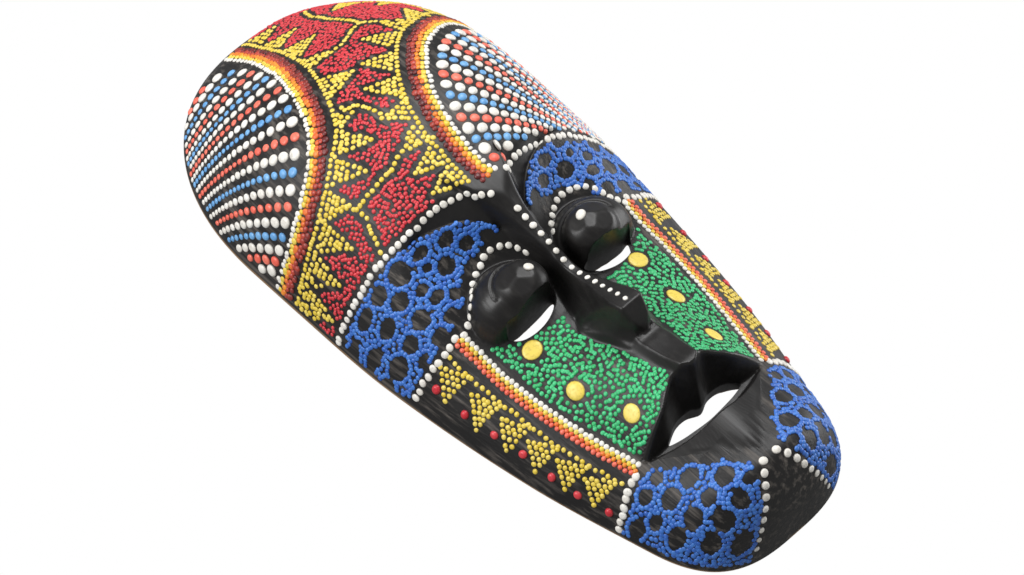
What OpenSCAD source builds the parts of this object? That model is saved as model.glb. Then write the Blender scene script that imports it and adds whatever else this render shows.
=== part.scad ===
// Carved and dot-painted wooden wall mask.
// Frame: X to the viewer's right, -Y out of the face, +Z to the crown.
// Y = 0 is the flat back rim. Z = 0 is the axis of the hanger's ring.
// The carving is worked out in face coordinates: x across, v up from the
// chin's end, h forward of the back rim.

/* [Mask] */
// Length from the chin's end to the crown
mask_len = 300; // [285:5:315]
// Widest half-width, across the forehead
half_wide = 68; // [64:1:72]
// Wood left between the face and the hollow behind it
wall = 8; // [7:0.5:10]

/* [Eyes] */
// Distance of each eye's centre from the middle
eye_x = 22; // [21:0.5:23]
// Height of the eyes' centres above the chin's end
eye_v = 129; // [128:0.5:130]
// How far the eyeballs stand forward of the back rim
eye_h = 52; // [50:0.5:54]

/* [Paint] */
// How far a paint dot stands above the wood
dot_rise = 0.8; // [0.6:0.1:1]
// Radius of the small dots
small_r = 1; // [0.8:0.05:1]
// Radius of the dots in the white rows
row_r = 1.3; // [1.1:0.05:1.4]
// Radius of the yellow spots on the cheeks
spot_r = 4; // [3.5:0.1:4.2]

/* [Hanger] */
// Thickness of the ring's wire
wire_d = 2; // [1.8:0.1:2.2]
// Width of the ring between the middles of its two sides
ring_w = 14; // [13:0.5:15]
// Height of the ring's axis above the chin's end
hang_v = 270; // [269:0.5:271]

/* [Hidden] */
SIDES = ["left", "right"];
SIDED = [
  "fan_white", "fan_red", "fan_blue",
  "arch_white", "arch_yellow", "arch_orange", "arch_maroon",
  "brow_row", "brow_net", "eye_ring", "pupil",
  "cheek_green", "cheek_spots", "cheek_white", "cheek_yellow", "cheek_orange", "cheek_red",
  "side_teeth", "side_beads", "temple_row", "jaw_row", "jaw_net", "chin_row"
];
NODES = concat(
  ["wooden_shell", "hanger_strap", "hanger_ring", "hanger_screw"],
  ["forehead_rows", "forehead_teeth", "forehead_stipple", "nose_row"],
  [for (side = SIDES, name = SIDED) str(name, "_", side)]
);
node = "all";

// ---------------------------------------------------------------- small maths
function clamp(t) = min(1, max(0, t));
function ramp(a, b, t) = let (s = clamp((t - a) / (b - a))) s * s * (3 - 2 * s);
function smooth_max(a, b, k) = (a + b + sqrt((a - b) * (a - b) + k * k)) / 2;

// Index of the knot that starts the stretch that t lies in
function stretch(k, t, i = 0) = i >= len(k) - 2 || t < k[i + 1][0] ? i : stretch(k, t, i + 1);

// Slope of the curve through the knots k at knot i
function slope(k, i) =
  let (a = max(0, i - 1), b = min(len(k) - 1, i + 1))
  (k[b][1] - k[a][1]) / (k[b][0] - k[a][0]);

// Smooth curve through the knots k, each [position, value]
function track(k, t) =
  let (
    c = min(k[len(k) - 1][0], max(k[0][0], t)),
    i = stretch(k, c),
    d = k[i + 1][0] - k[i][0],
    s = (c - k[i][0]) / d,
    s2 = s * s,
    s3 = s2 * s
  )
  (2 * s3 - 3 * s2 + 1) * k[i][1] + (s3 - 2 * s2 + s) * d * slope(k, i)
  + (3 * s2 - 2 * s3) * k[i + 1][1] + (s3 - s2) * d * slope(k, i + 1);

// ---------------------------------------------------------------- the carving
chin_len = 34;        // length of the rounded chin end
chin_power = 2.9;     // squareness of the chin's outline
crown_len = 82;       // length of the rounded crown end
crown_power = 2.25;   // squareness of the crown's outline
section_power = 2.8;  // squareness of the face's cross-section
section_fall = 0.78;  // steepness of the cross-section at the rim
drawn_len = 300;      // length and half-width that the knots below are drawn for
drawn_wide = 68;
len_k = mask_len / drawn_len;
wide_k = half_wide / drawn_wide;

// Half-width of the sides, [v, half-width]
SIDE = [[0, 38], [20, 42], [80, 57], [145, 66.5], [190, 68], [300, 68]];
// Profile of the face down the middle, without its features, [v, h]
CENTRE = [
  [0, 0], [3, 17], [8, 28], [16, 35.5], [30, 34], [50, 31.5], [80, 32], [105, 33], [125, 37],
  [145, 46], [165, 55], [195, 61], [215, 60], [235, 54], [255, 42], [272, 27], [285, 15],
  [295, 6.5], [300, 0]
];
// How far the muzzle swells over the face down the middle, and how it fades outwards
MUZZLE = [
  [49.2, 0], [49.8, 21], [58, 21], [66, 17.5], [75, 14.5], [85, 10.5], [95, 6], [105, 2], [112, 0]
];
muzzle_wide = 31;
muzzle_power = 1.15;
// Top of the nose and of the ridge under it, their half-widths at the top and at the foot, and
// the height at which the foot ends
NOSE_TOP = [
  [56, 53.6], [60, 53], [66, 50.3], [75, 47.4], [79.6, 46.3], [84, 52.8], [88, 57], [93, 55.5],
  [104, 50.5], [120, 45.5], [133, 50.5], [145, 54], [160, 57], [175, 58]
];
NOSE_RIDGE = [
  [56, 4], [78, 5], [84, 4.2], [90, 5.2], [96, 4.6], [104, 3], [113, 1.9], [125, 2.2], [145, 3.5],
  [160, 8], [175, 14]
];
NOSE_FOOT = [
  [56, 6], [66, 6.8], [75, 8], [82, 8.6], [88, 9.8], [95, 11.5], [102, 12.3], [108, 10.5],
  [125, 6.5], [145, 9], [160, 16]
];
NOSE_LOW = [
  [56, 48.5], [66, 46], [75, 43], [82, 40.5], [88, 38.5], [95, 36], [102, 33.5], [110, 31], [160, 31]
];
// The upper lip's sharp edge, the top of the opening under it, and the lower lip's top edge,
// each over the distance from the middle
UPPER_LIP = [[0, 57], [2.5, 57.4], [6.5, 59.3], [11, 57.7], [17, 54.7], [23.5, 52.3], [30.5, 49.5]];
OPENING_TOP = [[0, 49.8], [6, 52.2], [11, 52], [18, 49.3], [24, 48.6], [30.5, 49]];
LOWER_LIP = [[0, 42], [10, 42.3], [20, 44.5], [26, 47], [30.5, 49]];
mouth_half = 30.5;    // half the width of the mouth
lip_reach = 33.5;     // how far from the middle the lower lip shapes the face
mouth_floor = 25.5;   // height of the wood left behind the parted lips
brow_v = 151;         // height of the brow's edge over the nose
lid_rx = 18.5;        // half-width and half-height of an eyelid
lid_rv = 15.5;
lid_foot = 29;        // height of the plane that a lid rises from, and its rise
lid_rise = 14;
ball_in = 3.5;        // how far the eyeball sits from the lid's centre, inwards and down
ball_down = 2;
ball_rx = 13.5;       // half-width and half-height of an eyeball
ball_rv = 12.5;
ball_foot = 38;       // height of the plane that an eyeball rises from

nowhere = -50;        // height of a feature away from its own place

function half_width(v) =
  let (
    chin = pow(1 - pow(clamp((chin_len - v) / chin_len), chin_power), 1 / chin_power),
    crown_t = clamp((v - drawn_len + crown_len) / crown_len),
    crown = pow(1 - pow(crown_t, crown_power), 1 / crown_power)
  )
  wide_k * track(SIDE, v) * chin * crown;

function dome(x, v) =
  let (u = clamp(abs(x) / max(half_width(v), 0.001)))
  track(CENTRE, v) * pow(1 - pow(u, section_power), section_fall);

function muzzle(ax, v) =
  track(MUZZLE, v) * clamp(1 - pow(ax / muzzle_wide, muzzle_power));

// The forehead steps out over the eye sockets
function socket(ax, v) =
  let (brow = brow_v + 12 * ramp(2, 30, ax) + 2 * ramp(30, 60, ax))
  7 * exp(-pow((ax - 20) / 17, 2)) * (1 - ramp(brow - 12, brow + 6, v)) * ramp(108, 134, v);

// A rounded lid with the eyeball standing on it
function eyeball(ax, v) =
  let (
    lid = 1 - pow((ax - eye_x) / lid_rx, 2) - pow((v - eye_v) / lid_rv, 2),
    ball = 1 - pow((ax - eye_x + ball_in) / ball_rx, 2) - pow((v - eye_v + ball_down) / ball_rv, 2)
  )
  smooth_max(
    lid > 0 ? lid_foot + lid_rise * pow(lid, 0.6) : nowhere,
    ball > 0 ? ball_foot + (eye_h - ball_foot) * sqrt(ball) : nowhere,
    0.5
  );

function nose(ax, v) =
  let (
    top = track(NOSE_TOP, v),
    ridge = track(NOSE_RIDGE, v),
    t = max(0, (ax - ridge) / (track(NOSE_FOOT, v) - ridge))
  )
  t > 1.3 ? nowhere : top - t * (top - track(NOSE_LOW, v));

// Under the upper lip's edge two hollow faces run back to the opening
function lip_underside(ax, v) =
  let (
    e = track(UPPER_LIP, ax),
    low = track(OPENING_TOP, ax),
    t = clamp((v - low) / max(e - low, 0.1))
  )
  mouth_floor + (dome(ax, e) + muzzle(ax, e) - mouth_floor) * t;
function lower_lip(ax, v) =
  let (h = 36.5 - 13 * pow(min(1, ax / mouth_half), 1.4), keel = 20 + 29 * ax / mouth_half)
  h - 3.5 * max(v - track(LOWER_LIP, ax), 0) - 1.1 * max(keel + 3 - v, 0);
function parted(ax, v) =
  ax < mouth_half && v > track(LOWER_LIP, ax) && v < track(UPPER_LIP, ax);

// Height of the carved face over the back rim's plane
function face_h(x, v) =
  let (
    ax = abs(x),
    a = dome(x, v) + muzzle(ax, v) - socket(ax, v),
    b = smooth_max(a, eyeball(ax, v), 0.7),
    c = v > 56 && v < 176 ? smooth_max(b, nose(ax, v), 0.6) : b,
    e = v > 8 && v < 60 && ax < lip_reach ? smooth_max(c, lower_lip(ax, v), 1) : c
  )
  parted(ax, v)
    ? min(e, max(lip_underside(ax, v), e - 3.5 * (v - track(LOWER_LIP, ax))))
    : e;

// A point of the face in the part's frame, from its x and v
function on_face(x, v) = [x, -face_h(x, v), v * len_k - hang_v];

// Outward normal of the face at x and v
function face_normal(x, v) =
  let (
    s = 0.6,
    across = on_face(x + s, v) - on_face(x - s, v),
    up = on_face(x, v + s) - on_face(x, v - s),
    n = cross(across, up)
  )
  n / norm(n);

// ---------------------------------------------------------------- the shell
chin_rows = 7;
side_rows = 56;
crown_rows = 12;
face_cols = 40;
hollow_cols = 12;
below = 2;            // wood drawn behind the back plane, then cut off flat

// Rows of the face's grid. The two round ends step by angle, the rest evenly.
ROWS = concat(
  [for (i = [1 : chin_rows]) chin_len * (1 - pow(cos(90 * i / chin_rows), 2 / chin_power))],
  [for (i = [1 : side_rows])
    chin_len + (drawn_len - crown_len - chin_len) * i / side_rows],
  [for (i = [1 : crown_rows - 1])
    drawn_len - crown_len + crown_len * pow(sin(90 * i / crown_rows), 2 / crown_power)]
);

// Columns from -1 to 1, closer together towards the rim
function spread(j, n) = let (s = 2 * j / n - 1) 0.5 * sin(90 * s) + 0.5 * s;

// The hollow follows the face's outline inside a solid chin and crown
hollow_low = 14;
hollow_high = 261;
rim_k = 0.86;         // width of the hollow's mouth as a share of the mask's
function hollow_v(v) = hollow_low + (hollow_high - hollow_low) * v / drawn_len;
function hollow_h(u, v) =
  let (
    deep = track(CENTRE, hollow_v(v)) - wall,
    across = pow(1 - pow(abs(u), section_power), 0.6),
    along = pow(1 - pow(2 * v / drawn_len - 1, 6), 0.5)
  )
  deep * across * along;

function face_row(v) = [
  for (j = [0 : face_cols])
    let (u = spread(j, face_cols), x = u * half_width(v))
    [x, j == 0 || j == face_cols ? below : -face_h(x, v), v * len_k - hang_v]
];
function hollow_row(v) = [
  for (j = [0 : hollow_cols])
    let (u = spread(j, hollow_cols), w = hollow_v(v))
    [u * rim_k * half_width(v), j == 0 || j == hollow_cols ? below : -hollow_h(u, v),
     w * len_k - hang_v]
];

module carved_block() {
  rows = len(ROWS);
  f = face_cols + 1;
  g = hollow_cols + 1;
  face_points = [for (v = ROWS) each face_row(v)];
  hollow_points = [for (v = ROWS) each hollow_row(v)];
  chin = rows * (f + g);
  points = concat(face_points, hollow_points, [
    [0, below, -hang_v],
    [0, below, mask_len - hang_v],
    [0, below, hollow_low * len_k - hang_v],
    [0, below, hollow_high * len_k - hang_v]
  ]);
  crown = chin + 1;
  low = chin + 2;
  high = chin + 3;
  h0 = rows * f;
  top = rows - 1;
  faces = concat(
    // the carved face
    [for (i = [0 : top - 1], j = [0 : face_cols - 1]) each [
      [i * f + j, (i + 1) * f + j, (i + 1) * f + j + 1],
      [i * f + j, (i + 1) * f + j + 1, i * f + j + 1]
    ]],
    [for (j = [0 : face_cols - 1]) [chin, j, j + 1]],
    [for (j = [0 : face_cols - 1]) [crown, top * f + j + 1, top * f + j]],
    // the hollow behind it
    [for (i = [0 : top - 1], j = [0 : hollow_cols - 1]) each [
      [h0 + i * g + j, h0 + (i + 1) * g + j + 1, h0 + (i + 1) * g + j],
      [h0 + i * g + j, h0 + i * g + j + 1, h0 + (i + 1) * g + j + 1]
    ]],
    [for (j = [0 : hollow_cols - 1]) [low, h0 + j + 1, h0 + j]],
    [for (j = [0 : hollow_cols - 1]) [high, h0 + top * g + j, h0 + top * g + j + 1]],
    // the back rim between them
    [for (i = [0 : top - 1]) each [
      [i * f, h0 + i * g, h0 + (i + 1) * g],
      [i * f, h0 + (i + 1) * g, (i + 1) * f],
      [i * f + face_cols, h0 + (i + 1) * g + hollow_cols, h0 + i * g + hollow_cols],
      [i * f + face_cols, (i + 1) * f + face_cols, h0 + (i + 1) * g + hollow_cols]
    ]],
    [
      [chin, low, h0], [chin, h0, 0],
      [chin, h0 + hollow_cols, low], [chin, face_cols, h0 + hollow_cols],
      [crown, h0 + top * g, high], [crown, top * f, h0 + top * g],
      [crown, high, h0 + top * g + hollow_cols],
      [crown, h0 + top * g + hollow_cols, top * f + face_cols]
    ]
  );
  polyhedron(points, faces);
}

// A flat outline of face coordinates, cut right through the shell
module cut_through(outline) {
  translate([0, 5, -hang_v])
    rotate([90, 0, 0])
      linear_extrude(90)
        polygon([for (p = outline) [p.x, p.y * len_k]]);
}

// Mouth opening: two arches over a sagging lower edge
MOUTH = [
  [-19, 48.6], [-16, 50.6], [-11, 52.8], [-5.5, 53], [0, 50.8], [5.5, 53], [11, 52.8], [16, 50.6],
  [19, 48.6], [14, 47.2], [7, 46.4], [0, 46], [-7, 46.4], [-14, 47.2]
];
// Crescent slit under the right eyeball
SLIT = [
  [8, 119.5], [12, 115.5], [18, 113.3], [24, 113.3], [29, 115.3], [32, 120], [27, 118.9],
  [22, 118.6], [15, 119]
];

pocket_deep = 5;      // depth of the hanger's pocket
pocket_r = 11;        // half its width
pocket_up = 8;        // height of its round top's centre over the ring's axis
screw_up = 7.5;       // height of the screw over the ring's axis
shank_r = 1.2;
shank_len = 8;
strap_t = 0.6;

module wooden_shell() {
  color("#2b2827")
    difference() {
      carved_block();
      translate([-100, 0, -hang_v - 10])
        cube([200, 5, 330]);
      cut_through(MOUTH);
      cut_through(SLIT);
      cut_through([for (p = SLIT) [-p.x, p.y]]);
      translate([0, 1, pocket_up])
        rotate([90, 0, 0])
          cylinder(r = pocket_r, h = pocket_deep + 1, $fn = 48);
      translate([-pocket_r, -pocket_deep, -19])
        cube([2 * pocket_r, pocket_deep + 1, 19 + pocket_up]);
      translate([0, -pocket_deep + 1, screw_up])
        rotate([90, 0, 0])
          cylinder(r = shank_r, h = shank_len + 1 - strap_t, $fn = 32);
    }
}

// ---------------------------------------------------------------- the hanger
barrel_bore = wire_d / 2 + 0.1;
barrel_r = barrel_bore + strap_t;
ring_y = barrel_r - pocket_deep;   // the ring's axis, just clear of the pocket's floor
strap_w = 9;
strap_up = 12.4;
ring_side = 8;                     // straight sides of the ring
head_r = 2.7;
head_h = 1.4;

module hanger_strap() {
  color("#b8b4a8")
    difference() {
      union() {
        translate([-strap_w / 2, ring_y, 0])
          rotate([0, 90, 0])
            cylinder(r = barrel_r, h = strap_w, $fn = 48);
        translate([-strap_w / 2, -pocket_deep, 0])
          cube([strap_w, strap_t, strap_up]);
      }
      translate([-strap_w / 2 - 1, ring_y, 0])
        rotate([0, 90, 0])
          cylinder(r = barrel_bore, h = strap_w + 2, $fn = 48);
      translate([0, -pocket_deep + 2, screw_up])
        rotate([90, 0, 0])
          cylinder(r = shank_r, h = 4, $fn = 32);
    }
}

module ring_wire(length) {
  cylinder(r = wire_d / 2, h = length, $fn = 32);
}

// D-shaped ring, hanging down from its bar
module hanger_ring() {
  color("#d0cdc4")
    translate([0, ring_y, 0]) {
      translate([-ring_w / 2, 0, 0])
        rotate([0, 90, 0])
          ring_wire(ring_w);
      for (side = [-1, 1]) {
        translate([side * ring_w / 2, 0, -ring_side])
          ring_wire(ring_side);
        translate([side * ring_w / 2, 0, 0])
          sphere(r = wire_d / 2, $fn = 32);
      }
      translate([0, 0, -ring_side])
        rotate([90, 0, 0])
          rotate([0, 0, 180])
            rotate_extrude(angle = 180, $fn = 64)
              translate([ring_w / 2, 0])
                circle(r = wire_d / 2, $fn = 32);
    }
}

module hanger_screw() {
  color("#c9c6bd")
    translate([0, -pocket_deep + strap_t, screw_up])
      rotate([90, 0, 0]) {
        cylinder(r = shank_r, h = shank_len, $fn = 32);
        translate([0, 0, -head_h])
          difference() {
            cylinder(r1 = head_r - 0.6, r2 = head_r, h = head_h, $fn = 32);
            translate([-head_r, -0.3, -0.1])
              cube([2 * head_r, 0.6, 0.7]);
          }
      }
}

// ---------------------------------------------------------------- paint dots
sink = 0.4;           // how deep a dot's foot reaches into the wood
WHITE = "#ece7df";
YELLOW = "#f0cf3c";
ORANGE = "#ee8a2f";
RED = "#dc4a3e";
MAROON = "#7d2b22";
BLUE = "#4f8fd8";
SKY = "#6aa9dc";
GREEN = "#33a45c";

module dot(p, r) {
  n = face_normal(p.x, p.y);
  translate(on_face(p.x, p.y))
    rotate([0, acos(n.z), atan2(n.y, n.x)])
      translate([0, 0, -sink])
        cylinder(r1 = r, r2 = 0.6 * r, h = sink + dot_rise, $fn = 16);
}

module dots(points, r) {
  for (p = points)
    dot(p, r);
}

// Length of a route on the face, and the point a given way along it
function leg(p, i) = norm(on_face(p[i + 1].x, p[i + 1].y) - on_face(p[i].x, p[i].y));
function route_len(p, i = 0) = i >= len(p) - 1 ? 0 : leg(p, i) + route_len(p, i + 1);
function walk(p, d, i = 0) =
  i >= len(p) - 2 || d <= leg(p, i)
    ? p[i] + (p[i + 1] - p[i]) * d / leg(p, i)
    : walk(p, d - leg(p, i), i + 1);
function row_along(p, pitch) =
  let (length = route_len(p), n = floor(length / pitch))
  [for (i = [0 : n]) walk(p, length * i / n)];
function shifted(route, dx) = [for (p = route) p + [dx, 0]];

// Is q inside the outline o? Counts the outline's edges to the right of it.
function crossings(q, o) = [
  for (i = [0 : len(o) - 1])
    let (a = o[i], b = o[(i + 1) % len(o)])
    if ((a.y > q.y) != (b.y > q.y) && q.x < a.x + (b.x - a.x) * (q.y - a.y) / (b.y - a.y)) 1
];
function inside(q, o) = len(crossings(q, o)) % 2 == 1;

// Evenly staggered points in the box around an outline
function lattice(o, pitch, margin = 0) =
  let (
    low_x = min([for (p = o) p.x]) - margin,
    high_x = max([for (p = o) p.x]) + margin,
    low_v = min([for (p = o) p.y]) - margin,
    high_v = max([for (p = o) p.y]) + margin,
    step = pitch * sqrt(3) / 2
  )
  [
    for (i = [0 : ceil((high_v - low_v) / step)], j = [0 : ceil((high_x - low_x) / pitch)])
      [low_x + pitch * (j + (i % 2) / 2), low_v + step * i]
  ];

// Routes and outlines of the viewer's left side. The right side mirrors them.
function placed(points, side) = side == "left" ? points : [for (p = points) [-p.x, p.y]];

// The arches over the temples: centre, radii, and first and last angle
ARCH_LEFT = [[-66, 290], [58, 82], -86, -5];
ARCH_RIGHT = [[50, 171], [52, 60], 66, 186];
function arch_of(side) = side == "left" ? ARCH_LEFT : ARCH_RIGHT;
function arch_point(a, grow, angle) =
  a[0] + [(a[1].x + grow) * cos(angle), (a[1].y + grow) * sin(angle)];
function arch_route(a, grow) =
  [for (i = [0 : 12]) arch_point(a, grow, a[2] + (a[3] - a[2]) * i / 12)];
function in_arch(q, a, grow) =
  pow((q.x - a[0].x) / (a[1].x + grow), 2) + pow((q.y - a[0].y) / (a[1].y + grow), 2) < 1;
function on_wood(q) = abs(q.x) < half_width(q.y) - 1.8 && q.y < 296;

// The white rows along the brows, which the nets stay below and the fans above
BROW_ROW_LEFT = [[-65, 174], [-50, 171], [-41, 168], [-31, 167], [-15, 166], [-9, 162], [-5, 159]];
BROW_ROW_RIGHT = [[4, 157], [11, 159], [18, 163], [31, 164], [45, 162], [64, 158]];
row_gap = 3.2;        // bare wood left beside these rows, between the dots' middles
function brow_route(side) = side == "left" ? BROW_ROW_LEFT : BROW_ROW_RIGHT;
function over_row(q, side) = q.y - track(brow_route(side), q.x);

// Rays of dots run from each arch to a focus at the rim, shrinking on the way.
// Every other ray is white, and the ones between take turns at red and blue.
rays = 15;
ray_dots = 7;
ray_reach = 0.66;     // how much of the way to the focus the dots cover
ray_r = 1.8;          // radius of a ray's dots at the arch, and how much it loses
ray_taper = 1;
FOCUS = [[-70, 262], [58, 156]];
module fan(side, first, step) {
  arch = arch_of(side);
  focus = FOCUS[side == "left" ? 0 : 1];
  for (k = [first : step : rays - 1], i = [0 : ray_dots - 1]) {
    foot = arch_point(arch, -5.5, arch[2] + (arch[3] - arch[2]) * (k + 0.5) / rays);
    t = 1 - pow(1 - i / ray_dots, 1.25);
    q = foot + (focus - foot) * t * ray_reach;
    if (on_wood(q) && over_row(q, side) > row_gap)
      dot(q, ray_r - ray_taper * t);
  }
}
module fan_white(side) color(WHITE) fan(side, 0, 2);
module fan_red(side) color(RED) fan(side, 1, 4);
module fan_blue(side) color(SKY) fan(side, 3, 4);

arch_pitch = 3.1;     // spacing of the dots along an arch's rows
arch_step = 2.4;      // spacing between the rows
module arch_band(side, place) {
  route = arch_route(arch_of(side), arch_step * place);
  dots([for (q = row_along(route, arch_pitch)) if (on_wood(q)) q], small_r);
}
module arch_white(side) color(WHITE) arch_band(side, 0);
module arch_yellow(side) color(YELLOW) arch_band(side, 1);
module arch_orange(side) color(ORANGE) arch_band(side, 2);
module arch_maroon(side) color(MAROON) arch_band(side, 3);

// Between the arches: yellow rows beside them, teeth pointing in, red between
rows_out = 11;
tooth_pitch = 2.7;
band_teeth = 9;
function in_band(q, grow) =
  !in_arch(q, ARCH_LEFT, grow) && !in_arch(q, ARCH_RIGHT, grow)
  && q.y > 172 + 6 * ramp(8, 60, abs(q.x)) && q.y < 290 && abs(q.x) < half_width(q.y) - 4;

module forehead_rows() color(YELLOW)
  for (a = [ARCH_LEFT, ARCH_RIGHT])
    dots([for (q = row_along(arch_route(a, rows_out), 3.4)) if (in_band(q, rows_out - 1)) q],
         small_r);

module forehead_teeth() color(YELLOW)
  for (a = [ARCH_LEFT, ARCH_RIGHT], k = [0 : band_teeth - 1], i = [1 : 2], j = [0 : 2 - i]) {
    turn = (a[3] - a[2]) / band_teeth;
    q = arch_point(a, rows_out + tooth_pitch * i, a[2] + turn * (k + 0.5 + 0.3 * (j - (2 - i) / 2)));
    if (in_band(q, rows_out + 1.2))
      dot(q, small_r);
  }

module forehead_stipple() color(RED)
  for (q = lattice([[-66, 170], [66, 292]], 4.4))
    if (in_band(q, rows_out + 8.5))
      dot(q, small_r);

// White rows
NOSE_ROW = [[0, 146], [0, 130], [0, 112], [0, 92]];
TEMPLE_ROW = [[-46, 133.5], [-63.5, 135]];
JAW_ROW = [[-37, 48.5], [-47, 44]];
CHIN_ROW = [[-3.5, 17], [-7, 13], [-11, 9], [-15, 6], [-18, 4]];
EYE_RING_LEFT = [
  [-5, 137], [-8.7, 143.8], [-15, 146.7], [-22, 145], [-29.5, 140.5], [-37, 134.3], [-41.5, 131.8]
];
EYE_RING_RIGHT = [
  [9.5, 137.5], [15, 143.2], [23, 146.6], [31, 145], [37.3, 138.8], [42.5, 131.8]
];
PUPILS = [[-13.8, 127.2], [16, 130.1]];
module white_row(route, side, pitch) {
  color(WHITE)
    dots(placed(row_along(route, pitch), side), row_r);
}
module brow_row(side) color(WHITE)
  dots(row_along(brow_route(side), 3.7), row_r);
module nose_row() white_row(NOSE_ROW, "left", 4.2);
module eye_ring(side) color(WHITE)
  dots(row_along(side == "left" ? EYE_RING_LEFT : EYE_RING_RIGHT, 3.6), row_r);
module temple_row(side) white_row(TEMPLE_ROW, side, 3.6);
module jaw_row(side) white_row(JAW_ROW, side, 3.6);
module chin_row(side) white_row(CHIN_ROW, side, 3.9);
module pupil(side) color(WHITE) dots([PUPILS[side == "left" ? 0 : 1]], 1.9);

// Cheeks: green stipple round three yellow spots, inside a banded border
CHEEK = [
  [-38, 121], [-37.5, 105], [-37, 92], [-35.5, 78], [-33, 68], [-31, 58], [-30, 54], [-23.5, 56],
  [-17, 58.4], [-11, 61.5], [-8.7, 65], [-9.8, 75.5], [-10.8, 84], [-12.7, 95], [-14.2, 102],
  [-12.5, 111], [-20, 111], [-27, 113], [-33, 117]
];
SPOTS = [[-28, 108], [-27.5, 87.5], [-23.5, 66]];
spot_gap = 1.6;       // bare wood round a spot
module cheek_green(side) color(GREEN)
  dots(placed([
      for (p = lattice(CHEEK, 3.6))
        if (inside(p, CHEEK) && min([for (s = SPOTS) norm(p - s)]) > spot_r + spot_gap) p
    ], side), small_r);
module cheek_spots(side) color(YELLOW) dots(placed(SPOTS, side), spot_r);

CHEEK_EDGE = [
  [-42, 128], [-42, 117], [-41.5, 104], [-40, 91], [-37.5, 77], [-34.5, 64], [-32, 54]
];
cheek_pitch = 3;      // spacing along the border's rows
cheek_step = 1.9;     // spacing between them
module cheek_band(side, place) {
  dots(placed(row_along(shifted(CHEEK_EDGE, -cheek_step * place), cheek_pitch), side), 0.8 * small_r);
}
module cheek_white(side) color(WHITE) cheek_band(side, 0);
module cheek_yellow(side) color(YELLOW) cheek_band(side, 1);
module cheek_orange(side) color(ORANGE) cheek_band(side, 2);
module cheek_red(side) color(RED) cheek_band(side, 3);

// Yellow teeth along the side, and a red bead between each two
side_teeth_count = 7;
side_step = 11.2;
side_pitch = 2.9;
BEADS = [
  [-58, 129], [-57, 115], [-55, 101], [-53.5, 88], [-52, 75], [-50, 62], [-47.5, 50]
];
function side_x(v) = -50.5 + 8 * pow(clamp((130 - v) / 78), 1.6);
module side_teeth(side) color(YELLOW)
  dots(placed([
      for (k = [0 : side_teeth_count - 1], i = [0 : 2], j = [0 : 2 - i])
        let (v = 122 - side_step * k + side_pitch * (j - (2 - i) / 2))
        [side_x(v) - 1.7 * i, v]
    ], side), 0.8 * small_r);
module side_beads(side) color(RED) dots(placed(BEADS, side), 1.5);

// Nets of round cells over the brows and the jaw, dotted along a honeycomb
BROW_NET = [
  [-62, 170], [-50, 168], [-41, 165], [-33, 162], [-25, 158.5], [-20, 155], [-22, 149.5],
  [-30, 148], [-37, 142], [-44, 137], [-62, 139]
];
JAW_NET = [
  [-37, 45], [-28, 41], [-16, 28], [-9, 19], [-13, 11], [-20, 7], [-30, 12], [-38, 24], [-44, 40]
];
cell = 5.4;           // a cell's corner radius
module net(outline, side) {
  flat = cell * sqrt(3) / 2;
  points = [
    for (c = lattice(outline, 2 * flat, 2 * cell))
      for (q = [
          c + [0, cell], c - [0, cell], c + [flat, 0],
          c + flat * [cos(60), sin(60)], c + flat * [cos(120), sin(120)]
        ])
        if (inside(q, outline)) q
  ];
  color(BLUE)
    dots([for (q = placed(points, side)) if (over_row(q, side) < -row_gap) q], small_r);
}
module brow_net(side) net(BROW_NET, side);
module jaw_net(side) net(JAW_NET, side);

function wanted(name) = node == "all" || node == name;

if (wanted("wooden_shell")) wooden_shell();
if (wanted("hanger_strap")) hanger_strap();
if (wanted("hanger_ring")) hanger_ring();
if (wanted("hanger_screw")) hanger_screw();
if (wanted("forehead_rows")) forehead_rows();
if (wanted("forehead_teeth")) forehead_teeth();
if (wanted("forehead_stipple")) forehead_stipple();
if (wanted("nose_row")) nose_row();
for (side = SIDES) {
  if (wanted(str("fan_white_", side))) fan_white(side);
  if (wanted(str("fan_red_", side))) fan_red(side);
  if (wanted(str("fan_blue_", side))) fan_blue(side);
  if (wanted(str("arch_white_", side))) arch_white(side);
  if (wanted(str("arch_yellow_", side))) arch_yellow(side);
  if (wanted(str("arch_orange_", side))) arch_orange(side);
  if (wanted(str("arch_maroon_", side))) arch_maroon(side);
  if (wanted(str("brow_row_", side))) brow_row(side);
  if (wanted(str("brow_net_", side))) brow_net(side);
  if (wanted(str("eye_ring_", side))) eye_ring(side);
  if (wanted(str("pupil_", side))) pupil(side);
  if (wanted(str("cheek_green_", side))) cheek_green(side);
  if (wanted(str("cheek_spots_", side))) cheek_spots(side);
  if (wanted(str("cheek_white_", side))) cheek_white(side);
  if (wanted(str("cheek_yellow_", side))) cheek_yellow(side);
  if (wanted(str("cheek_orange_", side))) cheek_orange(side);
  if (wanted(str("cheek_red_", side))) cheek_red(side);
  if (wanted(str("side_teeth_", side))) side_teeth(side);
  if (wanted(str("side_beads_", side))) side_beads(side);
  if (wanted(str("temple_row_", side))) temple_row(side);
  if (wanted(str("jaw_row_", side))) jaw_row(side);
  if (wanted(str("jaw_net_", side))) jaw_net(side);
  if (wanted(str("chin_row_", side))) chin_row(side);
}
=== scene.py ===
import math

import bmesh
import bpy
import numpy as np
from mathutils import Matrix, Vector
from mathutils.kdtree import KDTree


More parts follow.
